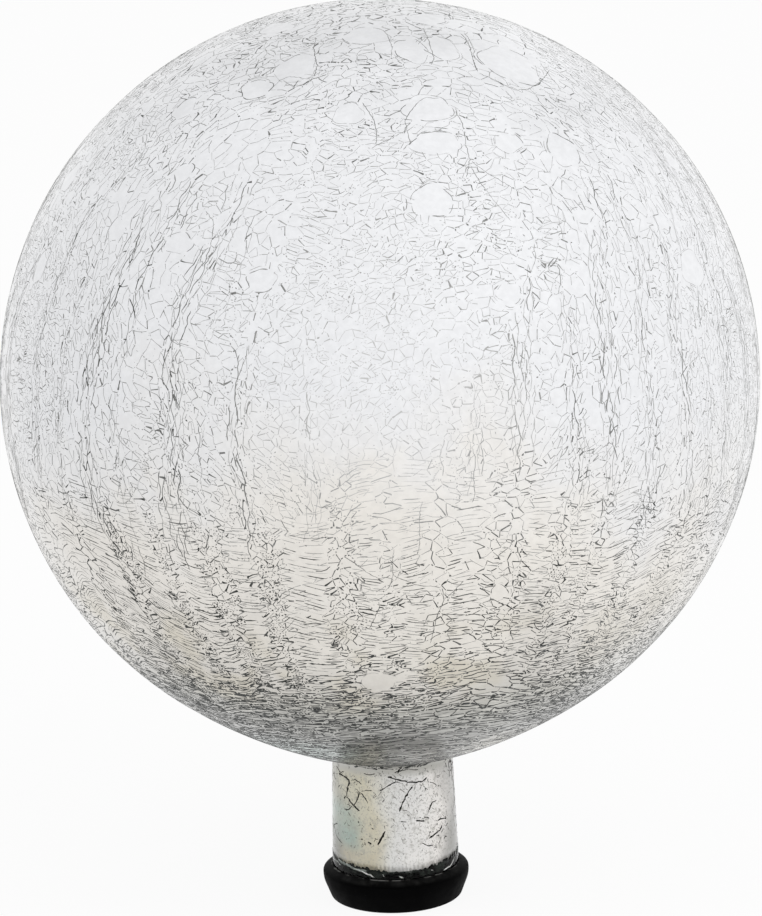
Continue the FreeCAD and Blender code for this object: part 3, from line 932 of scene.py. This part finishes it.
def crack_mesh(skin, strokes):
    """Closed wedges that stand for cracks: a line along one edge, drawn out three times and closed."""
    rails, joined = crack_rails(skin, strokes)
    rails = [rail.tolist() for rail in rails]
    mesh = bmesh.new()
    number = mesh.verts.layers.int.new("number")
    line = [mesh.verts.new(place) for place in rails[0]]
    for index, vertex in enumerate(line):
        vertex[number] = index
    edges = [mesh.edges.new((line[index], line[index + 1])) for index in joined.tolist()]
    for rail in (rails[1], rails[2], rails[0]):
        drawn = bmesh.ops.extrude_edge_only(mesh, edges=edges)["geom"]
        vertices = [part for part in drawn if isinstance(part, bmesh.types.BMVert)]
        new = set(vertices)
        edges = [part for part in drawn if isinstance(part, bmesh.types.BMEdge)
                 and part.verts[0] in new and part.verts[1] in new]
        for vertex in vertices:
            vertex.co = rail[vertex[number]]
    bmesh.ops.remove_doubles(mesh, verts=mesh.verts[:], dist=2e-7)
    bmesh.ops.recalc_face_normals(mesh, faces=mesh.faces[:])
    for face in mesh.faces:
        face.smooth = True
    return mesh


class Value:
    """A number or colour that a node gives, which adds, takes away and multiplies like a number."""

    def __init__(self, shader, socket):
        self.shader, self.socket = shader, socket

    def __add__(self, other):
        return self.shader.math("ADD", self, other)

    def __sub__(self, other):
        return self.shader.math("SUBTRACT", self, other)

    def __mul__(self, other):
        return self.shader.math("MULTIPLY", self, other)

    def __truediv__(self, other):
        return self.shader.math("DIVIDE", self, other)


class Shader:
    """The node tree of a material or a world, built a node at a time."""

    def __init__(self, name, kind="materials", output="ShaderNodeOutputMaterial"):
        self.owner = getattr(bpy.data, kind).new(name)
        self.owner.use_nodes = True
        self.tree = self.owner.node_tree
        self.tree.nodes.clear()
        self.output = self.add(output, {})
        self.coords = self.value("ShaderNodeTexCoord", {}, "Object")

    def add(self, kind, inputs, **settings):
        node = self.tree.nodes.new(kind)
        for name, value in settings.items():
            setattr(node, name, value)
        for name, value in inputs.items():
            self.put(node.inputs[name], value)
        return node

    def value(self, kind, inputs, output=0, **settings):
        return Value(self, self.add(kind, inputs, **settings).outputs[output])

    def put(self, socket, value):
        if isinstance(value, Value):
            self.tree.links.new(value.socket, socket)
        else:
            socket.default_value = (*value, 1.0) if socket.type == "RGBA" else value

    def math(self, operation, first, second=0.0, clamp=False):
        return self.value("ShaderNodeMath", {0: first, 1: second}, operation=operation, use_clamp=clamp)

    def ramp(self, value, *stops):
        node = self.add("ShaderNodeValToRGB", {"Fac": value})
        elements = node.color_ramp.elements
        while len(elements) < len(stops):
            elements.new(0.5)
        for element, (position, tone) in zip(elements, stops):
            element.position = position
            element.color = (*(tone if isinstance(tone, tuple) else grey(tone)), 1.0)
        return Value(self, node.outputs["Color"])

    def step(self, value, low, high, to_low=0.0, to_high=1.0):
        return self.value(
            "ShaderNodeMapRange", {0: value, 1: low, 2: high, 3: to_low, 4: to_high}, clamp=True,
            interpolation_type="SMOOTHSTEP")

    def mix(self, factor, first, second, blend="MIX"):
        node = self.add("ShaderNodeMix", {}, data_type="RGBA", blend_type=blend, clamp_factor=True)
        colours = [socket for socket in node.inputs if socket.type == "RGBA"]
        for socket, value in zip((node.inputs[0], *colours), (factor, first, second)):
            self.put(socket, value)
        return Value(self, [socket for socket in node.outputs if socket.type == "RGBA"][0])

    def noise(self, scale, detail=3.0, roughness=0.5, stretch=None, distortion=0.0):
        vector = self.coords
        if stretch:
            vector = self.value("ShaderNodeMapping", {"Vector": vector, "Scale": stretch})
        return self.value(
            "ShaderNodeTexNoise",
            {"Vector": vector, "Scale": scale, "Detail": detail, "Roughness": roughness, "Distortion": distortion},
            "Fac")

    def axes(self, vector=None):
        split = self.add("ShaderNodeSeparateXYZ", {"Vector": vector or self.coords})
        return [Value(self, socket) for socket in split.outputs]

    def own_depth(self):
        return self.value(
            "ShaderNodeAttribute", {}, "Fac", attribute_name="depth", attribute_type="GEOMETRY")

    def bump(self, height, strength, distance):
        return self.value("ShaderNodeBump", {"Height": height, "Strength": strength, "Distance": distance})

    def direct_ray(self):
        """1 for a ray from the camera, or one that gloss or glass sends on, and else 0."""
        path = self.add("ShaderNodeLightPath", {}).outputs
        found = Value(self, path["Is Camera Ray"])
        for name in ("Is Glossy Ray", "Is Transmission Ray"):
            found = self.math("MAXIMUM", found, Value(self, path[name]))
        return found

    def surface(self, **inputs):
        return self.shown("ShaderNodeBsdfPrincipled", {
            name.replace("_", " ").title().replace("Ior", "IOR"): value for name, value in inputs.items()})

    def shown(self, kind, inputs):
        self.put(self.output.inputs["Surface"], self.value(kind, inputs))
        return self.owner


def grey(value):
    return (value, value, value)


def between(first, second, share):
    return tuple((1.0 - share) * low + share * high for low, high in zip(first, second))


def silvered_glass(sizes):
    """Silver seen through crackled glass: white above, warm and clouded below, dark and streaked at
    the shoulder, and mottled off-white in the neck. The warm lower half is a painted reflection of a
    warm floor, the dark shoulder is painted shade from under the ball, and the right is painted lighter."""
    shader = Shader("silvered crackle glass")
    step, mix = shader.step, shader.mix
    x, _, z = shader.axes()
    cloud = shader.noise(15.0, 4.0, 0.55)
    wisp = shader.noise(70.0, 5.0, 0.6, distortion=0.6)
    drift = (cloud - 0.5) * 0.13 + (wisp - 0.5) * 0.02
    high = step(z, 0.085, 0.13)
    level = z + drift * high + step(x, 0.03, 0.10, 0.0, 0.028) * high
    warm, white, dark = tuple(sizes.warm_floor_reflection), tuple(sizes.silver_white), tuple(sizes.shoulder_shade)
    # Painted light by height: white above, a warm painted reflection of the floor lower down, and a dark band of
    # painted shade low on the shoulder. The level is raised on the right, which paints the right lighter.
    ball = shader.ramp(
        level / 0.308, (0.17, (0.36, 0.36, 0.33)), (0.2, dark), (0.235, (0.235, 0.235, 0.215)),
        (0.27, (0.35, 0.345, 0.315)), (0.3, (0.48, 0.47, 0.43)), (0.335, between(grey(0.0), warm, 0.8)),
        (0.39, between(grey(0.0), warm, 0.96)), (0.47, warm), (0.53, between(warm, white, 0.25)),
        (0.58, between(warm, white, 0.7)), (0.66, white), (0.9, white), (0.99, between(grey(0.0), white, 0.84)))

    # Side to side: painted shade makes the left of the ball a little darker than the right, with small random
    # changes of tone
    side = step(x, -0.125, 0.05, 0.86, 1.0)
    side = side * step(shader.noise(430.0, 3.0, 0.6), 0.36, 0.66, 0.97, 1.025)
    ball = mix(1.0, ball, shader.value("ShaderNodeCombineColor", {0: side, 1: side, 2: side}), "MULTIPLY")
    patchy = shader.noise(42.0, 3.0)

    # Yellow-brown stains in patches round the shoulder, fewer on the right, where a painted highlight makes it pale
    stain = step(z, 0.134, 0.118) * step(z, 0.086, 0.098) * step(patchy, 0.46, 0.62, 0.10, 0.62)
    ball = mix(stain * step(x, 0.02, 0.06, 1.0, 0.45), ball, (0.58, 0.53, 0.41))
    right_highlight = step(x, 0.052, 0.088) * step(z, 0.112, 0.096)
    ball = mix(right_highlight * 0.75, ball, (0.80, 0.79, 0.75))

    # Low on the shoulder: a teal stain on the left, and a cream painted highlight on the right
    low = step(z, 0.078, 0.064)
    ball = mix(low * step(x, -0.008, -0.028, 0.0, 0.8), ball, (0.40, 0.56, 0.51))
    ball = mix(low * step(x, 0.012, 0.034, 0.0, 0.8), ball, (0.72, 0.67, 0.56))

    # Streaks low on the shoulder, dark and light; the light ones are painted glints
    streak = shader.noise(1.0, 4.0, 0.62, stretch=(95.0, 95.0, 900.0), distortion=1.4)
    bright = shader.ramp(streak, (0.36, 0.16), (0.47, 0.40), (0.56, 0.62), (0.66, 1.0))
    ball = mix(step(z, 0.106, 0.084) * 0.7, ball, mix(0.8, ball, bright, "OVERLAY"))

    # The neck: yellowish on one side, grey-white in front, pinkish on the other, with a teal stain; painted light
    # makes the right side lightest, and painted shade darkens both edges
    across = x + (patchy - 0.5) * 0.022
    neck = shader.ramp(
        step(across, -0.0215, 0.0215), (0.0, (0.36, 0.35, 0.29)), (0.07, (0.60, 0.575, 0.46)),
        (0.20, (0.68, 0.635, 0.49)), (0.36, (0.78, 0.765, 0.71)), (0.46, (0.83, 0.825, 0.805)),
        (0.62, (0.87, 0.86, 0.845)), (0.80, (0.97, 0.95, 0.925)), (0.92, (0.97, 0.935, 0.90)),
        (1.0, (0.40, 0.39, 0.37)))
    brown = step(across, -0.003, -0.009) * step(z, 0.035, 0.029) * step(patchy, 0.30, 0.52)
    neck = mix(brown * 0.7, neck, (0.52, 0.46, 0.33))
    stain = step(across, -0.0120, -0.0185) * step(z, 0.040, 0.033) * step(z, 0.019, 0.025)
    neck = mix(stain * 0.7, neck, (0.33, 0.47, 0.43))
    # Painted shade: the neck darkens towards the cap at its edges, most on the left, and a little all across
    foot = step(x, -0.0165, -0.0208, 0.0, 0.85) + step(x, 0.0180, 0.0210, 0.0, 0.45) + 0.05
    neck = mix(foot * step(z, 0.036, 0.019), neck, (0.10, 0.105, 0.09))
    mottle, speckle = shader.noise(420.0, 4.0, 0.65), shader.noise(1250.0, 3.0, 0.7)
    neck = mix(step(mottle, 0.47, 0.30, 0.0, 0.55), neck, (0.30, 0.29, 0.25))
    neck = mix(step(speckle, 0.50, 0.32, 0.0, 0.62), neck, (0.34, 0.335, 0.30))
    # Painted shade under the ball, at the top of the neck
    neck = mix(step(z, 0.0465, 0.0505), neck, (0.50, 0.49, 0.45))
    colour = mix(step(z, 0.0505, 0.0545), neck, ball)

    # The cut end that meets the clear glass is in the dark, and is painted black as shade
    down = shader.axes(shader.value("ShaderNodeNewGeometry", {}, "True Normal"))[2]
    colour = mix(step(down, -0.8, -0.9) * step(z, 0.021, 0.019), colour, grey(0.01))
    relief = wisp + mottle * 0.5 + speckle * step(z, 0.054, 0.048, 0.0, 0.8)
    return shader.surface(
        base_color=colour, metallic=step(z, 0.046, 0.095, 0.18, 0.72), roughness=step(wisp, 0.3, 0.7, 0.28, 0.40),
        normal=shader.bump(relief, 0.30, 0.00012), coat_weight=1.0, coat_roughness=0.22, coat_ior=1.5)


def crack_finish(sizes):
    """Grey, slightly green lines: painted shade makes them darker lower down and on the left, and a painted
    glare washes them out at the middle of the front; painted light makes them fainter on the right low
    down, and they are fainter in patches. Each crack has its own depth."""
    shader = Shader("cracks")
    step, mix = shader.step, shader.mix
    x, _, z = shader.axes()
    patch, grain = shader.noise(17.0, 2.0), shader.noise(520.0, 2.0)
    light, dark = tuple(sizes.light), tuple(sizes.dark)
    # Painted shade darkens the cracks lower down and on the left, and painted light makes them fainter on the right
    # low down; they are also a little darker near the top
    depth = shader.own_depth() * step(z, 0.200, 0.125, 0.68, 1.0)
    depth = depth + step(z, 0.255, 0.285, 0.0, 0.22) + step(z, 0.160, 0.128, 0.0, 0.22)
    depth = depth + step(x, -0.030, -0.075) * step(z, 0.285, 0.215, 0.35, 1.0) * 0.32
    depth = depth - step(x, 0.030, 0.065, 0.0, 0.20) * step(z, 0.150, 0.130)
    depth = depth - step(x, 0.055, 0.090) * step(z, 0.112, 0.096) * 0.6
    depth = depth - step(patch, 0.47, 0.66, 0.0, 0.15) + step(z, 0.112, 0.096, 0.0, 0.30)
    depth = shader.math("ADD", depth, step(grain, 0.35, 0.65, -0.12, 0.15), clamp=True)
    colour = mix(depth, light, dark)
    # A painted glare round a spot at the front of the ball fades the cracks to pale
    from_glare_spot = shader.value(
        "ShaderNodeVectorMath", {0: shader.coords, 1: (0.004, -0.124, 0.200)}, "Value", operation="DISTANCE")
    colour = mix(step(from_glare_spot, 0.062, 0.014, 0.0, 0.70), colour, light)
    colour = mix(step(from_glare_spot, 0.052, 0.012, 0.0, 0.50), colour, grey(0.72))
    return shader.surface(
        base_color=colour, metallic=0.0, roughness=step(grain, 0.3, 0.7, 0.42, 0.58), specular_ior_level=0.15,
        coat_weight=0.4, coat_roughness=0.22, coat_ior=1.5)


def neck_crack_finish():
    """Open cracks in the neck: brown-black where deep, grey where shallow."""
    shader = Shader("neck cracks")
    grain = shader.noise(900.0, 2.0)
    depth = shader.math("ADD", shader.own_depth(), shader.step(grain, 0.35, 0.65, -0.12, 0.12), clamp=True)
    colour = shader.ramp(depth, (0.0, (0.33, 0.32, 0.28)), (0.55, (0.10, 0.095, 0.08)), (1.0, (0.01, 0.01, 0.009)))
    return shader.surface(
        base_color=colour, roughness=shader.step(grain, 0.3, 0.7, 0.5, 0.7), specular_ior_level=0.12)


def bright_crack_finish():
    """Cracks in clear glass, painted pale as the light they catch."""
    shader = Shader("bright cracks")
    grain = shader.noise(700.0, 2.0)
    return shader.surface(
        base_color=shader.ramp(grain, (0.32, (0.60, 0.60, 0.58)), (0.55, (0.95, 0.95, 0.93))),
        roughness=shader.step(grain, 0.3, 0.7, 0.25, 0.45), coat_weight=1.0, coat_roughness=0.05, coat_ior=1.5)


def clear_glass():
    """Clear, faintly green glass with a fire-polished surface."""
    shader = Shader("clear glass")
    wave, seed = shader.noise(160.0, 2.0), shader.noise(1500.0, 1.0)
    return shader.surface(
        base_color=(0.34, 0.38, 0.355), roughness=shader.step(seed, 0.62, 0.75, 0.0, 0.12), ior=1.18,
        transmission_weight=1.0, specular_ior_level=0.1, normal=shader.bump(wave, 0.03, 0.0001))


def mirror_back():
    """The mirror film as seen from inside: dull silver with tarnish."""
    shader = Shader("mirror film")
    stain = shader.noise(60.0, 5.0, 0.62, distortion=0.8)
    fleck = shader.noise(640.0, 3.0)
    colour = shader.ramp(stain, (0.34, (0.42, 0.39, 0.33)), (0.52, (0.66, 0.645, 0.61)), (0.68, (0.80, 0.80, 0.79)))
    colour = shader.mix(shader.step(fleck, 0.62, 0.72, 0.0, 0.7), colour, (0.12, 0.11, 0.09))
    return shader.surface(
        base_color=colour, metallic=1.0, roughness=shader.step(stain, 0.3, 0.7, 0.42, 0.26),
        normal=shader.bump(fleck, 0.15, 0.0001))


def black_rubber(sizes):
    """Black moulded rubber: a fine grain, a lip that is lighter grey in patches, a broken light grey line where it
    meets the glass, and a few specks.
    """
    shader = Shader("black rubber")
    step, mix = shader.step, shader.mix
    x, y, z = shader.axes()
    grain, wear = shader.noise(2600.0, 3.0, 0.6), shader.noise(240.0, 4.0, 0.6)
    out = shader.math("SQRT", x * x + y * y)
    lip = step(z, 0.0098, 0.0112)
    # The lip is a lighter grey in patches
    colour = mix(lip * step(wear, 0.35, 0.70, 0.15, 1.0), tuple(sizes.black), (0.020, 0.020, 0.0195))
    # A broken light grey line round the lip's inner edge, where it meets the glass
    seam = step(out, 0.0226, 0.0221) * step(z, 0.0112, 0.0116) * step(wear, 0.44, 0.58)
    colour = mix(seam, colour, (0.22, 0.22, 0.21))
    speck = shader.value(
        "ShaderNodeTexVoronoi", {"Vector": shader.coords, "Scale": 420.0, "Randomness": 1.0}, "Distance")
    speck = step(speck, 0.10, 0.06) * step(wear, 0.60, 0.64) * lip
    colour = mix(speck, colour, (0.30, 0.30, 0.29))
    return shader.surface(
        base_color=colour, roughness=step(wear, 0.3, 0.7, 0.52, 0.68), specular_ior_level=0.025,
        normal=shader.bump(grain + wear * 1.5, 0.35, 0.00008))


def floor_paper():
    """Matt white paper that is seen as white, and keeps the object's shadow."""
    shader = Shader("floor paper")
    tone = shader.ramp(shader.noise(120.0, 3.0), (0.3, 0.895), (0.7, 0.905))
    paper = shader.value("ShaderNodeBsdfDiffuse", {"Color": tone})
    white = shader.value("ShaderNodeEmission", {"Color": grey(1.0), "Strength": 1.0})
    return shader.shown("ShaderNodeMixShader", {0: shader.direct_ray() * 0.92, 1: paper, 2: white})


def studio_sky(strength):
    """Even light from all round, which is seen as white."""
    shader = Shader("studio", "worlds", "ShaderNodeOutputWorld")
    plain, seen = (
        shader.value("ShaderNodeBackground", {"Color": grey(1.0), "Strength": power}) for power in (strength, 1.0))
    return shader.shown("ShaderNodeMixShader", {0: shader.direct_ray(), 1: plain, 2: seen})


class GAZING_OT_globe(Operator):
    """Blow the silvered crackle glass globe"""
    bl_idname = "gazing.globe"
    bl_label = "Glass globe"

    def execute(self, context):
        sizes = context.scene.gazing_globe
        skin = Skin(sizes)
        mesh = bmesh.new()
        way = mesh.verts.layers.float.new("way")
        last = wall_outline(mesh, sizes, 0.0, 0.0, sizes.silver_height, OUTER_STEPS)
        for vertex in mesh.verts:
            vertex[way] = float(skin.way_at(vertex.co.z))
        outer = len(mesh.verts)
        inner_last = wall_outline(mesh, sizes, sizes.ball_wall, sizes.neck_wall, sizes.silver_height, INNER_STEPS)
        mesh.verts.ensure_lookup_table()
        for vertex in mesh.verts[outer:]:
            vertex[way] = -1.0
        mesh.edges.new((last, inner_last))
        turned(mesh, GLOBE_STEPS)
        outer_vertices = [vertex for vertex in mesh.verts if vertex[way] >= 0.0]
        turns = np.array([turn_of(vertex) for vertex in outer_vertices])
        places = skin.place(turns, np.array([vertex[way] for vertex in outer_vertices])).tolist()
        for vertex, place in zip(outer_vertices, places):
            if place[2] > 0.03:
                vertex.co = place
        chipped(mesh, sizes, 0.01 * MM)
        piece = finished(
            mesh, "glass_globe_silvered", "globe", "crackle_glass", silvered_glass(sizes), "glass_globe")
        data = piece.data
        ways = numbers(data.attributes["way"].data, "value", 1)
        height = numbers(data.vertices, "co", 3)[:, 2]
        inner_share = 0.04 * (1.0 - height / GLOBE_HIGH.z)
        rolled_out(data, np.where(ways >= 0.0, 0.05 + 0.95 * ways / skin.ways[-1], inner_share))
        data.attributes.remove(data.attributes["way"])
        return {"FINISHED"}


class GAZING_OT_neck_end(Operator):
    """Make the clear end of the neck, below the silver"""
    bl_idname = "gazing.neck_end"
    bl_label = "Clear neck end"

    def execute(self, context):
        sizes = context.scene.gazing_globe
        rim = sizes.neck_wall / 2
        lowest = GLOBE_LOW.z + rim
        gap = 0.01 * MM
        mesh = bmesh.new()
        inner, outer = sizes.collar_radius - sizes.neck_wall, sizes.collar_radius
        first = mesh.verts.new((outer, 0.0, sizes.silver_height - gap))
        last = run_on(mesh, first, (outer, 0.0, sizes.collar_height), 2)
        last = run_on(mesh, last, (outer, 0.0, lowest), 5)
        last = swung(mesh, last, (outer - rim, 0.0, lowest), math.pi, RIM_STEPS)
        last = run_on(mesh, last, (inner, 0.0, sizes.silver_height - gap), 6)
        mesh.edges.new((last, first))
        turned(mesh, GLOBE_STEPS)
        chipped(mesh, sizes, 2 * gap, gap)
        finished(mesh, "neck_end_clear", "globe", "crackle_glass", clear_glass(), "glass_globe")
        return {"FINISHED"}


class GAZING_OT_silver(Operator):
    """Line the glass with its mirror film"""
    bl_idname = "gazing.silver"
    bl_label = "Mirror film"

    def execute(self, context):
        sizes = context.scene.gazing_globe
        mesh = bmesh.new()
        gap = 0.02 * MM
        mesh.edges.new([
            wall_outline(
                mesh, sizes, sizes.ball_wall + depth, sizes.neck_wall + depth, sizes.silver_height, INNER_STEPS)
            for depth in (gap, gap + sizes.silver_thickness)])
        turned(mesh, GLOBE_STEPS)
        chipped(mesh, sizes, gap)
        finished(mesh, "silver_film", "globe", "silver_film", mirror_back(), "silver_lining")
        return {"FINISHED"}


class GAZING_OT_cracks(Operator):
    """Grow the cracks of the ball, the neck and the clear end"""
    bl_idname = "gazing.cracks"
    bl_label = "Cracks"

    def execute(self, context):
        scene = context.scene
        sizes = scene.gazing_cracks
        skin = Skin(scene.gazing_globe)
        found = CrackNet(skin, sizes).cracks()
        random = np.random.default_rng(sizes.seed + 2)
        for turns, ways, widths, depth in drawn_lines(skin, FRONT_CRACKS, random, 0.66):
            found.append((turns, ways, widths, 0.62 * depth, ways[:, ways.shape[1] // 2]))
        finish = crack_finish(sizes)
        limits = [0.0, *(float(skin.way_at(height * MM)) for height in CRACK_BELTS.values()), math.inf]
        for belt, low, high in zip((*CRACK_BELTS, "root"), limits, limits[1:]):
            strokes = []
            for *tables, middle in found:
                chosen = (middle >= low) & (middle < high)
                if chosen.any():
                    strokes.append([table[chosen] for table in tables])
            self.lay(skin, f"cracks_{belt}", strokes, finish)
        random = np.random.default_rng(sizes.seed + 1)
        self.lay(skin, "neck_cracks", self.neck_lines(skin, NECK_CRACKS, random), neck_crack_finish())
        self.lay(skin, "clear_end_cracks", drawn_lines(skin, CLEAR_CRACKS, random, 1.5), bright_crack_finish())
        return {"FINISHED"}

    def lay(self, skin, name, strokes, finish):
        piece = finished(crack_mesh(skin, strokes), name, "globe", "crackle_glass", finish)
        data = piece.data
        number = numbers(data.attributes["number"].data, "value", 1, np.int32)
        depth = np.concatenate([np.repeat(stroke[3], stroke[0].shape[1]) for stroke in strokes])[number]
        data.attributes.new("depth", "FLOAT", "POINT").data.foreach_set("value", depth.astype(np.float32))
        data.attributes.remove(data.attributes["number"])
        height = numbers(data.vertices, "co", 3)[:, 2]
        rolled_out(data, 0.02 + 0.96 * (height - height.min()) / (height.max() - height.min()))

    def twigs(self, skin, strokes, random):
        """Fine branches off the long cracks of the neck."""
        found = []
        for turns, ways, _, _ in strokes:
            for _ in range(int(0.5 * turns.shape[1])):
                node = int(random.integers(0, turns.shape[1]))
                steps = int(random.integers(3, 6))
                heading = random.uniform(0.0, FULL_TURN) + np.cumsum(random.normal(0.0, 0.25, steps))
                stride = random.uniform(0.25, 0.75) * MM
                turn = turns[0, node] + np.cumsum(np.cos(heading)) * stride / skin.radius(ways[0, node])
                way = ways[0, node] + np.cumsum(np.sin(heading)) * stride
                width = random.uniform(0.14, 0.26) * MM * random.uniform(0.6, 1.2, (1, steps))
                found.append((turn[None], way[None], width, np.array([random.uniform(0.5, 1.0)])))
        return found

    def neck_lines(self, skin, lines, random):
        """The neck's drawn cracks at the front, and loose ones of the same kinds all round."""
        strokes = drawn_lines(skin, lines, random, 1.45)
        strokes += self.twigs(skin, strokes, random)
        while len(strokes) < NECK_CRACK_COUNT:
            turn, height = random.uniform(-math.pi, math.pi), random.uniform(18.5, 50.0)
            large = abs(turn) > 1.3 and random.random() < 0.12
            steps = int(random.integers(7, 15)) if large else int(random.integers(3, 6))
            stride = 0.9 * MM if large else random.uniform(0.25, 0.55) * MM
            heading = 2.1 + 0.6 * random.normal() if random.random() < 0.6 else random.uniform(0.0, FULL_TURN)
            heading = heading + np.cumsum(random.normal(0.0, 0.28, steps))
            ways = skin.way_at(height * MM) - np.cumsum(np.sin(heading)) * stride
            turns = turn + np.cumsum(np.cos(heading)) * stride / skin.radius(ways)
            if ways.max() < skin.way_at(17.8 * MM) and ways.min() > skin.way_at(51.0 * MM):
                width = random.uniform(0.26, 0.44) if large else random.uniform(0.08, 0.22)
                depth = np.array([random.uniform(0.75, 1.0) if large else random.uniform(0.05, 0.85)])
                widths = width * MM * random.uniform(0.5, 1.25, (1, steps))
                strokes.append((turns[None], ways[None], widths, depth))
        return strokes


class GAZING_OT_cap(Operator):
    """Mould the rubber cap"""
    bl_idname = "gazing.cap"
    bl_label = "Rubber cap"

    def execute(self, context):
        sizes, globe = context.scene.gazing_cap, context.scene.gazing_globe
        grip = globe.collar_radius + 0.05 * MM
        seal = globe.collar_radius - globe.neck_wall - 0.08 * MM
        plug, floor, top = seal - 0.7 * MM, 3.0 * MM, CAP_HIGH.z
        hollow = plug - 3.2 * MM
        corners = [
            (0.0, 0.0, 0.0), (sizes.foot_radius, 0.0, 0.9 * MM), (sizes.radius, 7.0 * MM, 1.4 * MM),
            (sizes.radius, 9.6 * MM, 0.7 * MM), (grip + 0.6 * MM, sizes.lip_height, 0.35 * MM),
            (grip, sizes.lip_height, 0.12 * MM), (grip, floor, 0.0), (plug, floor, 0.0)]
        pitch = (top - floor) / 4
        for bead in (1, 2, 3):
            middle = floor + pitch * bead
            corners += [
                (plug, middle - 0.9 * MM, 0.0), (seal, middle - 0.3 * MM, 0.2 * MM),
                (seal, middle + 0.3 * MM, 0.2 * MM), (plug, middle + 0.9 * MM, 0.0)]
        corners += [
            (plug, top - 0.8 * MM, 0.3 * MM), (plug - 0.8 * MM, top, 0.3 * MM), (hollow, top, 0.4 * MM),
            (hollow, floor, 0.5 * MM), (0.0, floor, 0.0)]
        mesh = bmesh.new()
        corner = mesh.verts.layers.int.new("corner")
        chain = [mesh.verts.new((radius, 0.0, height)) for radius, height, _ in corners]
        for index, vertex in enumerate(chain):
            vertex[corner] = index
        for start, end in zip(chain, chain[1:]):
            mesh.edges.new((start, end))
        turned(mesh, CAP_STEPS)
        for index, (_, _, fillet) in enumerate(corners):
            if fillet > 0.0:
                ring = [edge for edge in mesh.edges if edge.verts[0][corner] == index == edge.verts[1][corner]]
                bmesh.ops.bevel(
                    mesh, geom=ring, offset=fillet, offset_type="OFFSET", segments=4, profile=0.5, affect="EDGES",
                    material=-1, clamp_overlap=True)
        bmesh.ops.recalc_face_normals(mesh, faces=mesh.faces[:])
        mesh.verts.layers.int.remove(corner)
        for face in mesh.faces:
            face.smooth = True
        finished(mesh, "rubber_cap_moulded", "cap", "black_rubber", black_rubber(sizes), "rubber_cap")
        return {"FINISHED"}


class GAZING_OT_stage(Operator):
    """Set the floor, the lamps and the camera"""
    bl_idname = "gazing.stage"
    bl_label = "Stage"

    def execute(self, context):
        scene, sizes = context.scene, context.scene.gazing_stage
        scene.view_settings.view_transform = "Standard"
        mesh = bmesh.new()
        bmesh.ops.create_grid(mesh, x_segments=1, y_segments=1, size=sizes.floor_size / 2)
        bmesh.ops.translate(mesh, vec=(0.0, 0.0, -0.05 * MM), verts=mesh.verts[:])
        data = bpy.data.meshes.new("floor")
        mesh.to_mesh(data)
        mesh.free()
        floor = bpy.data.objects.new("floor", data)
        scene.collection.objects.link(floor)
        data.materials.append(floor_paper())

        scene.world = studio_sky(sizes.sky)
        self.lamp("key lamp", (1.25, -1.35, 1.75), 1.9, sizes.key_power)
        self.lamp("fill lamp", (-1.7, -0.9, 0.9), 1.6, sizes.fill_power)
        camera = bpy.data.objects.new("camera", bpy.data.cameras.new("camera"))
        scene.collection.objects.link(camera)
        camera.data.sensor_width = 36.0
        camera.data.lens = sizes.focal_length
        place, aim = Vector(sizes.camera_place), Vector(sizes.camera_aim)
        camera.location = place
        camera.rotation_mode = "QUATERNION"
        roll = Quaternion(UP_AXIS, -sizes.camera_roll)
        camera.rotation_quaternion = (aim - place).to_track_quat("-Z", "Y") @ roll
        scene.camera = camera
        return {"FINISHED"}

    def lamp(self, name, place, side, power):
        light = bpy.data.lights.new(name, "AREA")
        light.shape, light.size, light.energy = "SQUARE", side, power
        lamp = bpy.data.objects.new(name, light)
        lamp.location = place
        lamp.visible_glossy = False
        lamp.rotation_mode = "QUATERNION"
        lamp.rotation_quaternion = (Vector((0.0, 0.0, 0.16)) - Vector(place)).to_track_quat("-Z", "Y")
        bpy.context.scene.collection.objects.link(lamp)


OPERATORS = (
    GAZING_OT_stage, GAZING_OT_globe, GAZING_OT_neck_end, GAZING_OT_silver, GAZING_OT_cracks, GAZING_OT_cap)


class GAZING_PT_panel(Panel):
    """Lists the pieces of the gazing ball"""
    bl_idname = "GAZING_PT_panel"
    bl_label = "Gazing Ball"
    bl_space_type = "VIEW_3D"
    bl_region_type = "UI"
    bl_category = "Gazing Ball"

    def draw(self, context):
        for operator in OPERATORS:
            self.layout.operator(operator.bl_idname)
        for group in SETTINGS:
            for name in SETTINGS[group].__annotations__:
                self.layout.prop(getattr(context.scene, group), name)


SETTINGS = {
    "gazing_globe": GlobeSizes, "gazing_cracks": CrackSizes, "gazing_cap": CapSizes, "gazing_stage": StageSizes}


def register():
    for kind in (*SETTINGS.values(), *OPERATORS, GAZING_PT_panel):
        bpy.utils.register_class(kind)
    for name, kind in SETTINGS.items():
        setattr(bpy.types.Scene, name, PointerProperty(type=kind))


def unregister():
    for name in SETTINGS:
        delattr(bpy.types.Scene, name)
    for kind in (GAZING_PT_panel, *reversed(OPERATORS), *reversed(SETTINGS.values())):
        bpy.utils.unregister_class(kind)


def main():
    register()
    for operator in OPERATORS:
        group, name = operator.bl_idname.split(".")
        getattr(getattr(bpy.ops, group), name)()


if __name__ == "__main__":
    main()
